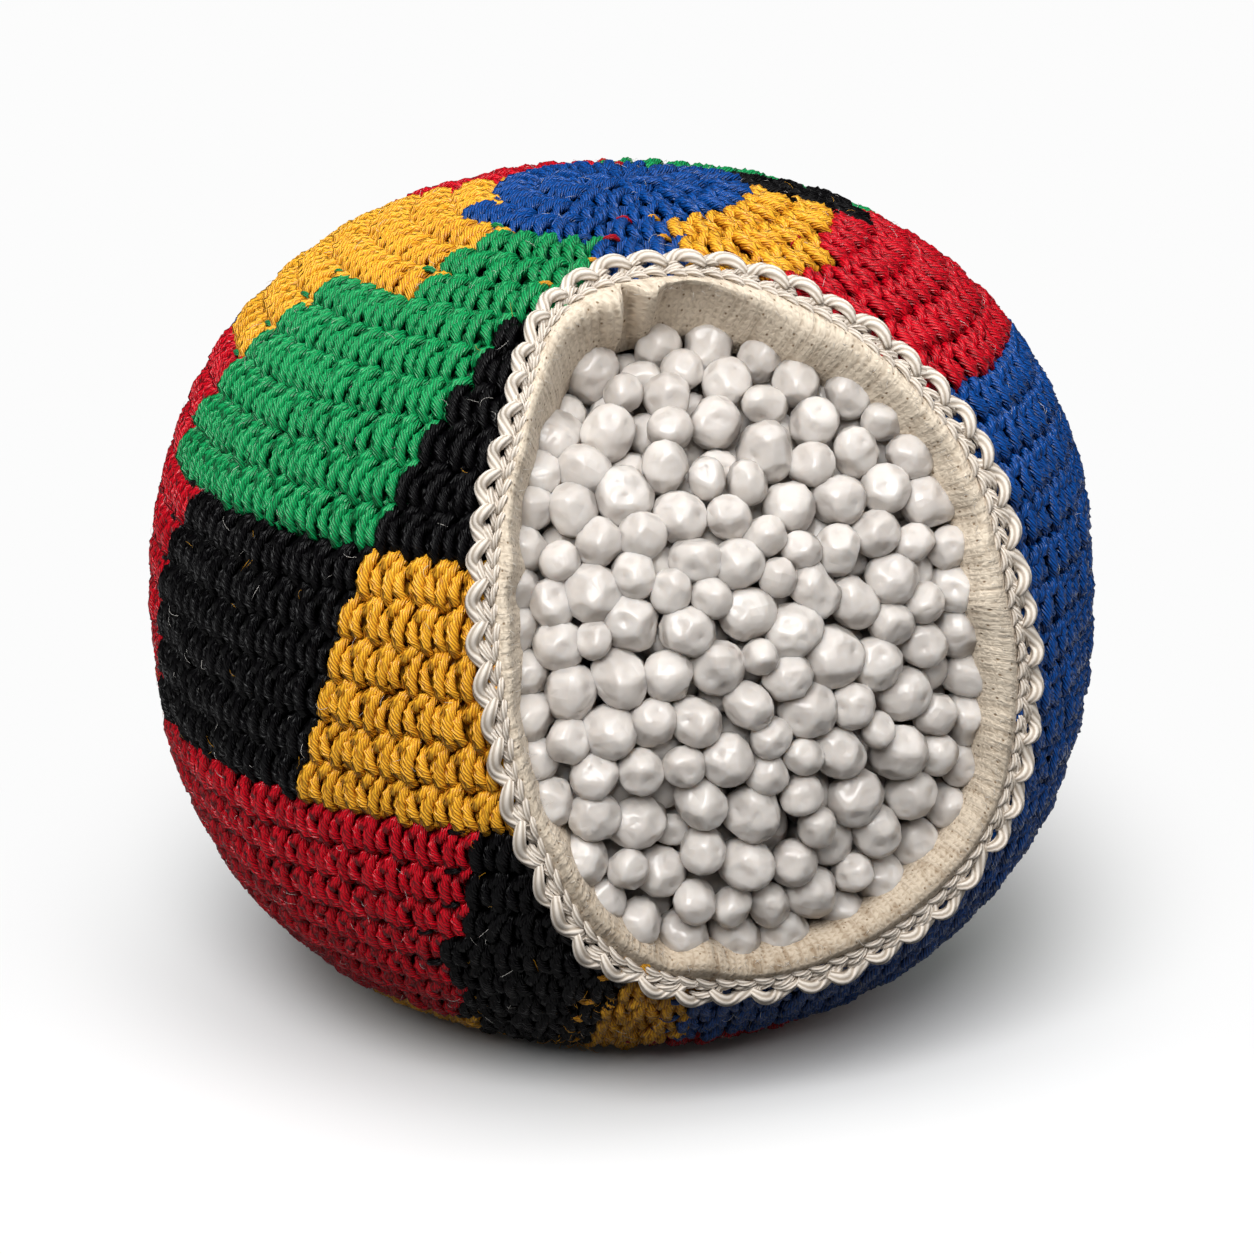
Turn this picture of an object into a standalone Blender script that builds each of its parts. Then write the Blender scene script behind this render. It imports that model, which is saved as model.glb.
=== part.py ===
"""Crocheted footbag whose open window shows the cloth lining and the pellets inside.

The bag is a squat ball of crochet that settles on a flat patch. Its rounds are
circles of latitude, and each block of colour is a run of its own yarn, worked
over a fixed number of rounds. A window at the front is edged with a row of
cord scallops and a row of chain stitch, and the mouth of the lining is turned
over under them. Loose plastic pellets lie in pockets of the filling.

The frame: origin at the middle of the flat the bag rests on, +Z up, and the
front, where azimuth is zero, faces -Y. Azimuth grows towards +X.
"""

import math
import random

import bmesh
import bpy
from mathutils import Matrix, Vector

# The bag, measured over its skin
BAG_RADIUS = 0.0275
BAG_HALF_HEIGHT = 0.0250
BASE_RADIUS = 0.0110
PROFILE_POWER = 2.3

# The crochet: rounds from the crown to the middle of the base
ROUNDS = 34
COLUMNS = 30
FIRST_COLUMN_AZIMUTH = math.radians(-38)
LEAN_PER_ROUND = math.radians(-1.6)
COVER_THICKNESS = 0.0022

# Clearances: between two pieces side by side, and between two nested shells
SEAT_GAP = 0.0003
NEST_GAP = 0.0004

# The window, seen from the middle of the bag, and the reach of its edge by
# direction round it, from the right by the top to the left and the bottom
WINDOW_AZIMUTH = math.radians(17)
WINDOW_ELEVATION = math.radians(15)
WINDOW_REACH = 0.0212
WINDOW_REACH_SHARES = (
    0.72, 0.71, 0.75, 0.84, 0.96, 0.98, 0.80, 0.71,
    0.68, 0.72, 0.82, 0.97, 1.04, 1.06, 1.02, 0.87,
)
WINDOW_SECTORS = 48

# The lining and its turned hem
LINING_THICKNESS = 0.0007
LINING_SECTORS = 36
LINING_RINGS = 9
HEM_WIDTH = 0.0016
HEM_LIP = 0.0009
HEM_ROUNDING = 0.0003

# The edging
CHAIN_DIAMETER = 0.00084
CHAIN_POINTS = 72
SCALLOP_CORD = 0.00072
SCALLOP_REACH = 0.0012
SCALLOPS = 56
POINTS_PER_SCALLOP = 6

# The filling
PELLET_DIAMETER = 0.0031
PELLET_CLEARANCE = 0.0003
PELLET_RECESS = 0.0024
PELLET_SLUMP = 0.0016
FACETS_PER_PELLET = 3
VALLEY_DEPTH_SHARE = 0.7
PELLET_FLATNESS_SHARES = (0.90, 1.0)
PELLET_SEED = 7

# Loose pellets of the top layer: degrees round the window, and how far out each
# lies towards the place where it would touch the hem
LOOSE_PELLET_SHARES = (
    (240, 0.9404), (270, 0.7043), (300, 0.7990), (240, 0.4702), (300, 0.3995),
    (330, 0.8144), (180, 0.7012), (0, 0.0), (0, 0.6490), (120, 0.4656),
    (60, 0.5594), (120, 0.9311), (90, 0.7768),
)

YARN_COLOURS = {
    "blue": (0.005, 0.053, 0.262),
    "green": (0.007, 0.262, 0.070),
    "yellow": (0.753, 0.352, 0.013),
    "red": (0.429, 0.005, 0.017),
    "black": (0.008, 0.007, 0.008),
}
LINING_COLOUR = (0.680, 0.610, 0.515)
PELLET_COLOUR = (0.745, 0.730, 0.700)

# Each block of colour: its name, its yarn, and the bands that it is worked in,
# each from one round to another and from one column to another
BLOCKS = (
    ("cover_blue_crown", "blue", ((0, 3, -8, 22), (3, 4, -4, 1), (3, 7, 1, 3))),
    ("cover_yellow_shoulder", "yellow", ((3, 6, 3, 6), (3, 5, 6, 9), (6, 7, 3, 4))),
    ("cover_black_shoulder", "black", ((3, 6, 9, 12),)),
    ("cover_red_shoulder", "red", ((5, 6, 6, 9), (6, 10, 4, 11))),
    ("cover_green_front", "green", ((4, 7, -2, 1), (7, 13, -4, 0))),
    ("cover_yellow_left", "yellow", ((3, 4, -8, -4), (4, 7, -8, -2), (7, 10, -8, -4))),
    ("cover_black_front", "black", ((7, 13, 0, 4),)),
    ("cover_yellow_front", "yellow", ((13, 19, 0, 5),)),
    ("cover_black_left", "black", ((13, 19, -3, 0),)),
    ("cover_red_left", "red", ((10, 13, -6, -4), (13, 19, -6, -3), (19, 26, -5, 2))),
    ("cover_black_low", "black", ((19, 22, 2, 5), (22, 30, 2, 4))),
    ("cover_yellow_low", "yellow", ((22, 30, 4, 5),)),
    ("cover_blue_right", "blue", ((10, 13, 4, 11), (13, 27, 5, 11))),
    ("cover_red_under", "red", ((27, 30, 5, 11),)),
    ("cover_yellow_under", "yellow", ((26, 30, -5, 2),)),
    ("cover_green_base", "green", ((30, 34, -8, 22),)),
    ("cover_green_back", "green", ((3, 10, 12, 17), (6, 10, 11, 12))),
    ("cover_red_back", "red", ((3, 10, 17, 22),)),
    ("cover_yellow_back", "yellow", ((10, 19, 11, 15),)),
    ("cover_black_back", "black", ((10, 19, 15, 19),)),
    ("cover_blue_back", "blue", ((10, 19, 19, 24),)),
    ("cover_green_rear", "green", ((19, 30, 11, 15),)),
    ("cover_red_rear", "red", ((19, 30, 15, 20),)),
    ("cover_black_rear", "black", ((19, 30, 20, 25),)),
)

# Where the filling and the lining lie below the skin
LINING_INSET = COVER_THICKNESS + NEST_GAP
BED_INSET = LINING_INSET + LINING_THICKNESS + NEST_GAP
HEM_DEPTH = BED_INSET - NEST_GAP

# The flat cuts the profile where it is as wide as the base
BASE_DEPTH = BAG_HALF_HEIGHT * (
    1 - (BASE_RADIUS / BAG_RADIUS) ** PROFILE_POWER
) ** (1 / PROFILE_POWER)
CENTRE = Vector((0, 0, BASE_DEPTH))


def clear_scene():
    for item in list(bpy.data.objects):
        bpy.data.objects.remove(item, do_unlink=True)


def make_material(name, colour, roughness):
    material = bpy.data.materials.new(name)
    material.use_nodes = True
    shader = material.node_tree.nodes["Principled BSDF"]
    shader.inputs["Base Color"].default_value = (*colour, 1.0)
    shader.inputs["Roughness"].default_value = roughness
    shader.inputs["Metallic"].default_value = 0.0
    return material


def make_object(name, mesh_data, material=None):
    piece = bpy.data.objects.new(name, mesh_data)
    bpy.context.scene.collection.objects.link(piece)
    if material is not None:
        mesh_data.materials.append(material)
    return piece


def mesh_from(bm, name, smooth_angle=math.radians(40)):
    """A mesh whose faces all point out, when they agree with each other."""
    if bm.calc_volume(signed=True) < 0:
        bmesh.ops.reverse_faces(bm, faces=bm.faces)
    mesh = bpy.data.meshes.new(name)
    bm.to_mesh(mesh)
    bm.free()
    mesh.shade_smooth()
    mesh.set_sharp_from_angle(angle=smooth_angle)
    return mesh


def make_cutter(name, mesh):
    cutter = make_object(name, mesh)
    cutter.hide_render = True
    cutter.display_type = "WIRE"
    return cutter


def cut_with(piece, cutter):
    cut = piece.modifiers.new(cutter.name, "BOOLEAN")
    cut.operation = "DIFFERENCE"
    cut.solver = "EXACT"
    cut.object = cutter


def heading(azimuth, elevation):
    """Unit vector at an azimuth from the front and an elevation."""
    return Vector((
        math.sin(azimuth) * math.cos(elevation),
        -math.cos(azimuth) * math.cos(elevation),
        math.sin(elevation),
    ))


def bag_distance(direction, inset):
    """How far the shell that lies inset below the skin is from the centre."""
    level = math.hypot(direction.x, direction.y) / (BAG_RADIUS - inset)
    rise = abs(direction.z) / (BAG_HALF_HEIGHT - inset)
    distance = (level ** PROFILE_POWER + rise ** PROFILE_POWER) ** (-1 / PROFILE_POWER)
    if direction.z < 0:
        distance = min(distance, (BASE_DEPTH - inset) / -direction.z)
    return distance


def bag_point(direction, inset):
    return CENTRE + direction * bag_distance(direction, inset)


def measure_profile(samples=720):
    """Elevations down the profile, with the length walked from the crown."""
    steps = []
    walked = 0.0
    last = None
    for index in range(samples + 1):
        elevation = math.pi * (0.5 - index / samples)
        point = bag_point(heading(0, elevation), 0)
        if last is not None:
            walked += (point - last).length
        steps.append((walked, elevation))
        last = point
    return steps


PROFILE = measure_profile()
PROFILE_LENGTH = PROFILE[-1][0]
ROUND_PITCH = PROFILE_LENGTH / ROUNDS


def round_elevation(number):
    """Elevation of the line between two rounds, counted from the crown."""
    target = number * ROUND_PITCH
    for (low, upper), (high, lower) in zip(PROFILE, PROFILE[1:]):
        if target <= high:
            share = (target - low) / (high - low)
            return upper + (lower - upper) * share
    return PROFILE[-1][1]


WINDOW_AXIS = heading(WINDOW_AZIMUTH, WINDOW_ELEVATION)
WINDOW_RIGHT = Vector((0, 0, 1)).cross(WINDOW_AXIS).normalized()
WINDOW_UP = WINDOW_AXIS.cross(WINDOW_RIGHT)


def window_heading(turn, spread):
    """Unit vector spread away from the window's axis, at a turn round it."""
    across = WINDOW_RIGHT * math.cos(turn) + WINDOW_UP * math.sin(turn)
    return WINDOW_AXIS * math.cos(spread) + across * math.sin(spread)


def window_spread(turn):
    """Angle from the window's axis to the cut edge of the cover."""
    count = len(WINDOW_REACH_SHARES)
    place = (turn / math.tau) % 1 * count
    index = int(place) % count
    t = place - int(place)
    before, here, there, after = (
        WINDOW_REACH_SHARES[(index + step) % count] for step in (-1, 0, 1, 2)
    )
    share = here + t / 2 * (
        there - before
        + t * (2 * before - 5 * here + 4 * there - after
               + t * (3 * (here - there) + after - before))
    )
    return share * WINDOW_REACH / BAG_RADIUS


def edge_point(turn, inward, height):
    """Point beside the cut edge, inward of it and above the skin."""
    direction = window_heading(turn, window_spread(turn) - inward / BAG_RADIUS)
    return CENTRE + direction * (bag_distance(direction, 0) + height)


def edge_turns(count, samples=720):
    """Turns round the window at equal lengths along its edge."""
    lengths = [0.0]
    for index in range(samples):
        start = edge_point(math.tau * index / samples, 0, 0)
        end = edge_point(math.tau * (index + 1) / samples, 0, 0)
        lengths.append(lengths[-1] + (end - start).length)
    turns = []
    index = 0
    for number in range(count):
        target = lengths[-1] * number / count
        while lengths[index + 1] < target:
            index += 1
        share = (target - lengths[index]) / (lengths[index + 1] - lengths[index])
        turns.append(math.tau * (index + share) / samples)
    return turns


def block_cells(bands):
    """The cells of the chart that a block covers, as (round, column)."""
    cells = set()
    for first, last, west, east in bands:
        for number in range(first, last):
            for column in range(west, east):
                cells.add((number, column % COLUMNS))
    return cells


def chart_heading(number, column, down, right):
    """Direction of a chart corner, moved down and right by real lengths."""
    number = number + down / ROUND_PITCH
    elevation = round_elevation(number)
    radius = bag_distance(heading(0, elevation), 0) * math.cos(elevation)
    azimuth = (
        FIRST_COLUMN_AZIMUTH
        + math.tau * column / COLUMNS
        + LEAN_PER_ROUND * (number - ROUNDS / 2)
        + right / radius
    )
    return heading(azimuth, elevation)


def make_block(name, bands, material):
    """One run of yarn: the chart's cells wrapped on the bag, as thick as the cover."""
    cells = block_cells(bands)
    bm = bmesh.new()
    corners = {}

    def corner(cell, down, right):
        """Outer and inner vertex at one corner of a cell, drawn in by the gap."""
        number = cell[0] + down
        column = (cell[1] + right) % COLUMNS
        if number in (0, ROUNDS):
            key = (number, 0)
            shift = (0, 0)
        else:
            north_west, north_east, south_west, south_east = (
                (number + row, (column + side) % COLUMNS) in cells
                for row in (-1, 0) for side in (-1, 0)
            )
            key = (number, column)
            around = north_west + north_east + south_west + south_east
            if around == 2 and north_west == south_east:
                key = (number, column, cell)
                shift = (1 - 2 * down, 1 - 2 * right)
            else:
                shift = (
                    (south_west + south_east > north_west + north_east)
                    - (south_west + south_east < north_west + north_east),
                    (north_east + south_east > north_west + south_west)
                    - (north_east + south_east < north_west + south_west),
                )
        if key not in corners:
            half_gap = SEAT_GAP / 2
            if len(key) == 2 and number in (0, ROUNDS):
                direction = Vector((0, 0, 1 if number == 0 else -1))
            else:
                direction = chart_heading(number, column, shift[0] * half_gap, shift[1] * half_gap)
            corners[key] = (
                bm.verts.new(bag_point(direction, 0)),
                bm.verts.new(bag_point(direction, COVER_THICKNESS)),
            )
        return corners[key]

    for cell in sorted(cells):
        number, column = cell
        loop = [corner(cell, 0, 0), corner(cell, 1, 0), corner(cell, 1, 1), corner(cell, 0, 1)]
        loop = [pair for index, pair in enumerate(loop) if pair is not loop[index - 1]]
        bm.faces.new([pair[0] for pair in loop])
        bm.faces.new([pair[1] for pair in reversed(loop)])
        sides = (
            ((number - 1, column), (0, 1), (0, 0)),
            ((number + 1, column), (1, 0), (1, 1)),
            ((number, (column - 1) % COLUMNS), (0, 0), (1, 0)),
            ((number, (column + 1) % COLUMNS), (1, 1), (0, 1)),
        )
        for neighbour, start, end in sides:
            if neighbour in cells or not 0 <= neighbour[0] < ROUNDS:
                continue
            first = corner(cell, *start)
            second = corner(cell, *end)
            bm.faces.new((first[1], second[1], second[0], first[0]))
    bmesh.ops.triangulate(bm, faces=bm.faces)
    return make_object(name, mesh_from(bm, name), material)


def make_window_cutter():
    """A cone from the middle of the bag through the edge of the window."""
    beyond = 2 * BAG_RADIUS
    bm = bmesh.new()
    middle = bm.verts.new(CENTRE)
    top = bm.verts.new(CENTRE + WINDOW_AXIS * beyond)
    ring = []
    for index in range(WINDOW_SECTORS):
        turn = math.tau * index / WINDOW_SECTORS
        ring.append(bm.verts.new(CENTRE + window_heading(turn, window_spread(turn)) * beyond))
    for index, vertex in enumerate(ring):
        following = ring[(index + 1) % WINDOW_SECTORS]
        bm.faces.new((middle, following, vertex))
        bm.faces.new((top, vertex, following))
    return make_cutter("window_cutter", mesh_from(bm, "window_cutter"))


def make_cover(yarns):
    cutter = make_window_cutter()
    widest = max(window_spread(math.tau * i / WINDOW_SECTORS) for i in range(WINDOW_SECTORS))
    for name, yarn, bands in BLOCKS:
        block = make_block(name, bands, yarns[yarn])
        nearest = min(
            (vertex.co - CENTRE).angle(WINDOW_AXIS) for vertex in block.data.vertices
        )
        if nearest < widest:
            cut_with(block, cutter)


def make_lining(material):
    """The cloth pouch: a shell under the cover, open where the hem hangs in it."""
    mouth_inward = SEAT_GAP + HEM_WIDTH - LINING_THICKNESS - SEAT_GAP
    bm = bmesh.new()
    layers = []
    for inset in (LINING_INSET, LINING_INSET + LINING_THICKNESS):
        rows = []
        for ring in range(LINING_RINGS):
            row = []
            for sector in range(LINING_SECTORS):
                turn = math.tau * sector / LINING_SECTORS
                mouth = window_spread(turn) - mouth_inward / BAG_RADIUS
                spread = mouth + (math.pi - mouth) * ring / LINING_RINGS
                row.append(bm.verts.new(bag_point(window_heading(turn, spread), inset)))
            rows.append(row)
        far = bm.verts.new(bag_point(-WINDOW_AXIS, inset))
        layers.append((rows, far))
    for (rows, far), order in zip(layers, (1, -1)):
        for sector in range(LINING_SECTORS):
            beside = (sector + 1) % LINING_SECTORS
            for near_row, far_row in zip(rows, rows[1:]):
                corners = (near_row[sector], near_row[beside], far_row[beside], far_row[sector])
                bm.faces.new(corners[::order])
            bm.faces.new((rows[-1][sector], rows[-1][beside], far)[::order])
    outer_mouth = layers[0][0][0]
    inner_mouth = layers[1][0][0]
    for sector in range(LINING_SECTORS):
        beside = (sector + 1) % LINING_SECTORS
        bm.faces.new((
            outer_mouth[beside], outer_mouth[sector], inner_mouth[sector], inner_mouth[beside],
        ))
    bmesh.ops.triangulate(bm, faces=bm.faces)
    return make_object("lining_pouch", mesh_from(bm, "lining_pouch"), material)


def make_hem(material):
    """The turned mouth of the lining: a lip level with the skin and a wall below it."""
    outside = SEAT_GAP
    inside = SEAT_GAP + HEM_WIDTH
    section = (
        (outside, -HEM_LIP),
        (outside, -HEM_ROUNDING),
        (outside + HEM_ROUNDING, 0),
        (inside - HEM_ROUNDING, 0),
        (inside, -HEM_ROUNDING),
        (inside, -HEM_DEPTH),
        (inside - LINING_THICKNESS, -HEM_DEPTH),
        (inside - LINING_THICKNESS, -HEM_LIP),
    )
    bm = bmesh.new()
    rings = []
    for index in range(WINDOW_SECTORS):
        turn = math.tau * index / WINDOW_SECTORS
        rings.append([bm.verts.new(edge_point(turn, *corner)) for corner in section])
    for index, ring in enumerate(rings):
        following = rings[(index + 1) % WINDOW_SECTORS]
        for side in range(len(section)):
            beside = (side + 1) % len(section)
            bm.faces.new((ring[side], ring[beside], following[beside], following[side]))
    bmesh.ops.triangulate(bm, faces=bm.faces)
    return make_object("lining_hem", mesh_from(bm, "lining_hem"), material)


def make_ring_cord(name, points, diameter, sides_resolution, material):
    """A closed cord through the given points."""
    curve = bpy.data.curves.new(name, "CURVE")
    curve.dimensions = "3D"
    curve.bevel_depth = diameter / 2
    curve.bevel_resolution = sides_resolution
    spline = curve.splines.new("POLY")
    spline.points.add(len(points) - 1)
    for slot, point in zip(spline.points, points):
        slot.co = (*point, 1.0)
    spline.use_cyclic_u = True
    spline.use_smooth = True
    return make_object(name, curve, material)


def make_edging(material):
    """A row of chain stitch on the hem, and scallops of cord that reach over the cover."""
    chain_inward = SEAT_GAP + HEM_WIDTH / 2
    chain_height = CHAIN_DIAMETER / 2 + SEAT_GAP
    chain = [edge_point(turn, chain_inward, chain_height) for turn in edge_turns(CHAIN_POINTS)]
    make_ring_cord("edging_chain", chain, CHAIN_DIAMETER, 1, material)

    nearest = chain_inward - (CHAIN_DIAMETER + SCALLOP_CORD) / 2 - SEAT_GAP
    height = SCALLOP_CORD / 2 + SEAT_GAP
    scallops = []
    for index, turn in enumerate(edge_turns(SCALLOPS * POINTS_PER_SCALLOP)):
        wave = math.sqrt(math.sin(math.pi * (index % POINTS_PER_SCALLOP) / POINTS_PER_SCALLOP))
        scallops.append(edge_point(turn, nearest - SCALLOP_REACH * wave, height))
    make_ring_cord("edging_scallops", scallops, SCALLOP_CORD, 0, material)


PELLET_RADIUS = PELLET_DIAMETER / 2
PELLET_PITCH = PELLET_DIAMETER + PELLET_CLEARANCE
PELLET_LEVEL = bag_distance(WINDOW_AXIS, PELLET_RECESS)
PELLET_TRAVEL = 2 * PELLET_DIAMETER
MOUTH_INWARD = SEAT_GAP + HEM_WIDTH + SEAT_GAP


def filling_distance(direction):
    """How far the tops of the pellets are from the centre: they have slumped at the top."""
    return bag_distance(direction, PELLET_RECESS + PELLET_SLUMP * direction.dot(WINDOW_UP))


def lattice_heading(across, up):
    """Direction of a place on the filling, given as lengths from the window's axis."""
    return window_heading(math.atan2(up, across), math.hypot(across, up) / PELLET_LEVEL)


def wall_reach(turn):
    """Length along the filling from the window's axis to the hem's inner wall."""
    return (window_spread(turn) - MOUTH_INWARD / BAG_RADIUS) * PELLET_LEVEL


def room_at(across, up):
    """Length from a place on the filling to the hem's inner wall."""
    return wall_reach(math.atan2(up, across)) - math.hypot(across, up)


def pellet_sites():
    """Places of the loose pellets, and of those of the top layer that fill in round them."""
    loose = []
    for degrees, share in LOOSE_PELLET_SHARES:
        turn = math.radians(degrees)
        out = share * (wall_reach(turn) - PELLET_RADIUS)
        loose.append((out * math.cos(turn), out * math.sin(turn)))
    fixed = []
    reach = math.ceil(WINDOW_REACH * max(WINDOW_REACH_SHARES) / PELLET_PITCH) + 1
    for row in range(-reach, reach + 1):
        for step in range(-2 * reach, 2 * reach + 1):
            across = PELLET_PITCH * (step + row / 2)
            up = PELLET_PITCH * row * math.sqrt(3) / 2
            nearest = min(math.hypot(across - a, up - u) for a, u in loose)
            if room_at(across, up) > 0 and nearest > PELLET_DIAMETER:
                fixed.append((across, up))
    return fixed, loose


def pellet_centre(across, up):
    direction = lattice_heading(across, up)
    return CENTRE + direction * (filling_distance(direction) - PELLET_RADIUS)


def make_pocket_cutter(loose):
    """The room of each loose pellet, drawn out of the window along its axis."""
    bm = bmesh.new()
    travel = WINDOW_AXIS * PELLET_TRAVEL
    for across, up in loose:
        ball = bmesh.new()
        bmesh.ops.create_icosphere(ball, subdivisions=2, radius=PELLET_RADIUS + PELLET_CLEARANCE)
        centre = pellet_centre(across, up)
        ends = [vertex.co + centre + shift for shift in (Vector(), travel) for vertex in ball.verts]
        ball.free()
        verts = [bm.verts.new(point) for point in ends]
        hull = bmesh.ops.convex_hull(bm, input=verts)
        inner = {item for item in hull["geom_interior"] if isinstance(item, bmesh.types.BMVert)}
        bmesh.ops.delete(bm, geom=list(inner), context="VERTS")
    return make_cutter("pocket_cutter", mesh_from(bm, "pocket_cutter"))


def make_pellet_bed(fixed, loose, material):
    """The rest of the filling, settled into one body with a top layer of pellets."""
    directions = []
    step_size = PELLET_PITCH / FACETS_PER_PELLET
    reach = math.ceil(WINDOW_REACH * max(WINDOW_REACH_SHARES) / step_size) + 1
    for row in range(-reach, reach + 1):
        for step in range(-2 * reach, 2 * reach + 1):
            across = step_size * (step + row / 2)
            up = step_size * row * math.sqrt(3) / 2
            if room_at(across, up) < step_size / FACETS_PER_PELLET:
                continue
            nearest = min(math.hypot(across - a, up - u) for a, u in fixed + loose)
            drop = PELLET_RADIUS * VALLEY_DEPTH_SHARE
            if nearest < PELLET_RADIUS:
                drop = min(drop, PELLET_RADIUS - math.sqrt(PELLET_RADIUS ** 2 - nearest ** 2))
            direction = lattice_heading(across, up)
            directions.append((direction, filling_distance(direction) - drop))
    for index in range(WINDOW_SECTORS):
        turn = math.tau * index / WINDOW_SECTORS
        direction = window_heading(turn, window_spread(turn) - MOUTH_INWARD / BAG_RADIUS)
        directions.append((direction, bag_distance(direction, BED_INSET)))
    for ring in range(1, LINING_RINGS):
        for sector in range(LINING_SECTORS):
            turn = math.tau * (sector + 0.5 * (ring % 2)) / LINING_SECTORS
            mouth = window_spread(turn) - MOUTH_INWARD / BAG_RADIUS
            direction = window_heading(turn, mouth + (math.pi - mouth) * ring / LINING_RINGS)
            directions.append((direction, bag_distance(direction, BED_INSET)))
    directions.append((-WINDOW_AXIS, bag_distance(-WINDOW_AXIS, BED_INSET)))

    bm = bmesh.new()
    distances = {bm.verts.new(direction): distance for direction, distance in directions}
    bmesh.ops.convex_hull(bm, input=list(distances))
    for vertex, distance in distances.items():
        vertex.co = CENTRE + vertex.co.normalized() * distance
    bed = make_object("pellet_bed", mesh_from(bm, "pellet_bed"), material)
    cut_with(bed, make_pocket_cutter(loose))


def make_loose_pellets(loose, material):
    """Rounded pellets, each a little flattened its own way, in their pockets."""
    draw = random.Random(PELLET_SEED)
    for number, (across, up) in enumerate(loose, start=1):
        name = f"loose_pellet_{number:02d}"
        bm = bmesh.new()
        bmesh.ops.create_icosphere(bm, subdivisions=2, radius=PELLET_RADIUS)
        flatness = [draw.uniform(*PELLET_FLATNESS_SHARES) for _ in range(3)]
        turn = Matrix.Rotation(draw.uniform(0, math.tau), 3, heading(draw.uniform(0, math.tau), 0))
        for vertex in bm.verts:
            vertex.co = turn @ Vector([a * b for a, b in zip(vertex.co, flatness)])
        pellet = make_object(name, mesh_from(bm, name), material)
        pellet.location = pellet_centre(across, up)


def make_footbag():
    clear_scene()
    yarns = {
        colour: make_material(f"{colour}_yarn", value, 0.6)
        for colour, value in YARN_COLOURS.items()
    }
    lining = make_material("lining_cotton", LINING_COLOUR, 0.85)
    cord = make_material("edging_cotton", LINING_COLOUR, 0.7)
    plastic = make_material("pellet_plastic", PELLET_COLOUR, 0.35)
    make_cover(yarns)
    make_lining(lining)
    make_hem(lining)
    make_edging(cord)
    fixed, loose = pellet_sites()
    make_pellet_bed(fixed, loose, plastic)
    make_loose_pellets(loose, plastic)


make_footbag()
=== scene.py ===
# A crocheted footbag with a window cut in its front. The bag is built up as a maker would: lining
# pouch, filling, crochet cover, turned hem and corded edging, and then set on a pale floor.
import math

import bpy
import numpy as np
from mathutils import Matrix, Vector
from mathutils.bvhtree import BVHTree


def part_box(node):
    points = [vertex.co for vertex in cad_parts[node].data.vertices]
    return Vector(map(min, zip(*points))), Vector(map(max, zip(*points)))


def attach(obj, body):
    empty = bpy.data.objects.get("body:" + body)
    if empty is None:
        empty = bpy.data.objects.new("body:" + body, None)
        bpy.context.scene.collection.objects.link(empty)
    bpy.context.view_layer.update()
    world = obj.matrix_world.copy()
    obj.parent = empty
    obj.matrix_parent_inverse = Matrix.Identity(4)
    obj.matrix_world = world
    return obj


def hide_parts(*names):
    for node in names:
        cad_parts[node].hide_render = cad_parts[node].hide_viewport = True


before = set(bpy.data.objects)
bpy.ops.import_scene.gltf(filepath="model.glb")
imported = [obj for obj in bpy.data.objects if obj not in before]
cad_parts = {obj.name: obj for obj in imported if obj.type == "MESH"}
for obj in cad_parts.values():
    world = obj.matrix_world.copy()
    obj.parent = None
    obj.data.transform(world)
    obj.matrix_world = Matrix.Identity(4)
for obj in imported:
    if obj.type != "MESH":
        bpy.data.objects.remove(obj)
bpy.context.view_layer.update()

# Lining pouch. A bag of undyed cotton jersey, cut flat, gathered to a ball and sewn up, that lies
# between the crochet and the pellets. Only its mouth shows; the rest closes the bag inside.
MM = 0.001
BAG_RADIUS, BAG_HALF_HEIGHT, BASE_RADIUS, PROFILE_POWER = 27.5 * MM, 25.0 * MM, 11.0 * MM, 2.3
BASE_DEPTH = BAG_HALF_HEIGHT * (1 - (BASE_RADIUS / BAG_RADIUS) ** PROFILE_POWER) ** (1 / PROFILE_POWER)
CENTRE = np.array((0, 0, BASE_DEPTH))
WINDOW_REACH = 21.2 * MM
# How far the window's edge lies from its axis, by direction from the right by the top to the left
# and the bottom. Every table by direction in this script goes round the same way.
WINDOW_SHARES = np.array((0.72, 0.71, 0.75, 0.84, 0.96, 0.98, 0.80, 0.71,
                          0.68, 0.72, 0.82, 0.97, 1.04, 1.06, 1.02, 0.87))
POUCH_INSET, POUCH_CLOTH, MOUTH_REACH = 2.6 * MM, 0.7 * MM, 0.6 * MM
CLOTH_LENGTH, CLOTH_DEPTH = 150, 50             # Millimetres, the unit of the cloth's UV map


def unit(vectors):
    """The same directions, one long."""
    return vectors / np.linalg.norm(vectors, axis=-1, keepdims=True)


def heading(azimuth, elevation):
    """Direction from the middle of the bag; azimuth 0 is the front, and grows to the right."""
    azimuth, elevation = np.broadcast_arrays(azimuth, elevation)
    level = np.cos(elevation)
    return np.stack((np.sin(azimuth) * level, -np.cos(azimuth) * level, np.sin(elevation)), -1)


def shell_distance(direction, inset):
    """Distance from the middle of the bag to the shell that lies inset below the skin."""
    level = np.hypot(direction[..., 0], direction[..., 1]) / (BAG_RADIUS - inset)
    rise = np.abs(direction[..., 2]) / (BAG_HALF_HEIGHT - inset)
    far = (level ** PROFILE_POWER + rise ** PROFILE_POWER) ** (-1 / PROFILE_POWER)
    base = (BASE_DEPTH - inset) / np.maximum(-direction[..., 2], 1e-6)
    return np.minimum(far, np.where(direction[..., 2] < 0, base, far))


def shell_point(direction, inset):
    """Point in a direction on the shell that lies inset below the skin."""
    return CENTRE + direction * shell_distance(direction, inset)[..., None]


WINDOW_AXIS = heading(math.radians(17), math.radians(15))
WINDOW_RIGHT = unit(np.cross((0, 0, 1), WINDOW_AXIS))
WINDOW_UP = np.cross(WINDOW_AXIS, WINDOW_RIGHT)


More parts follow.
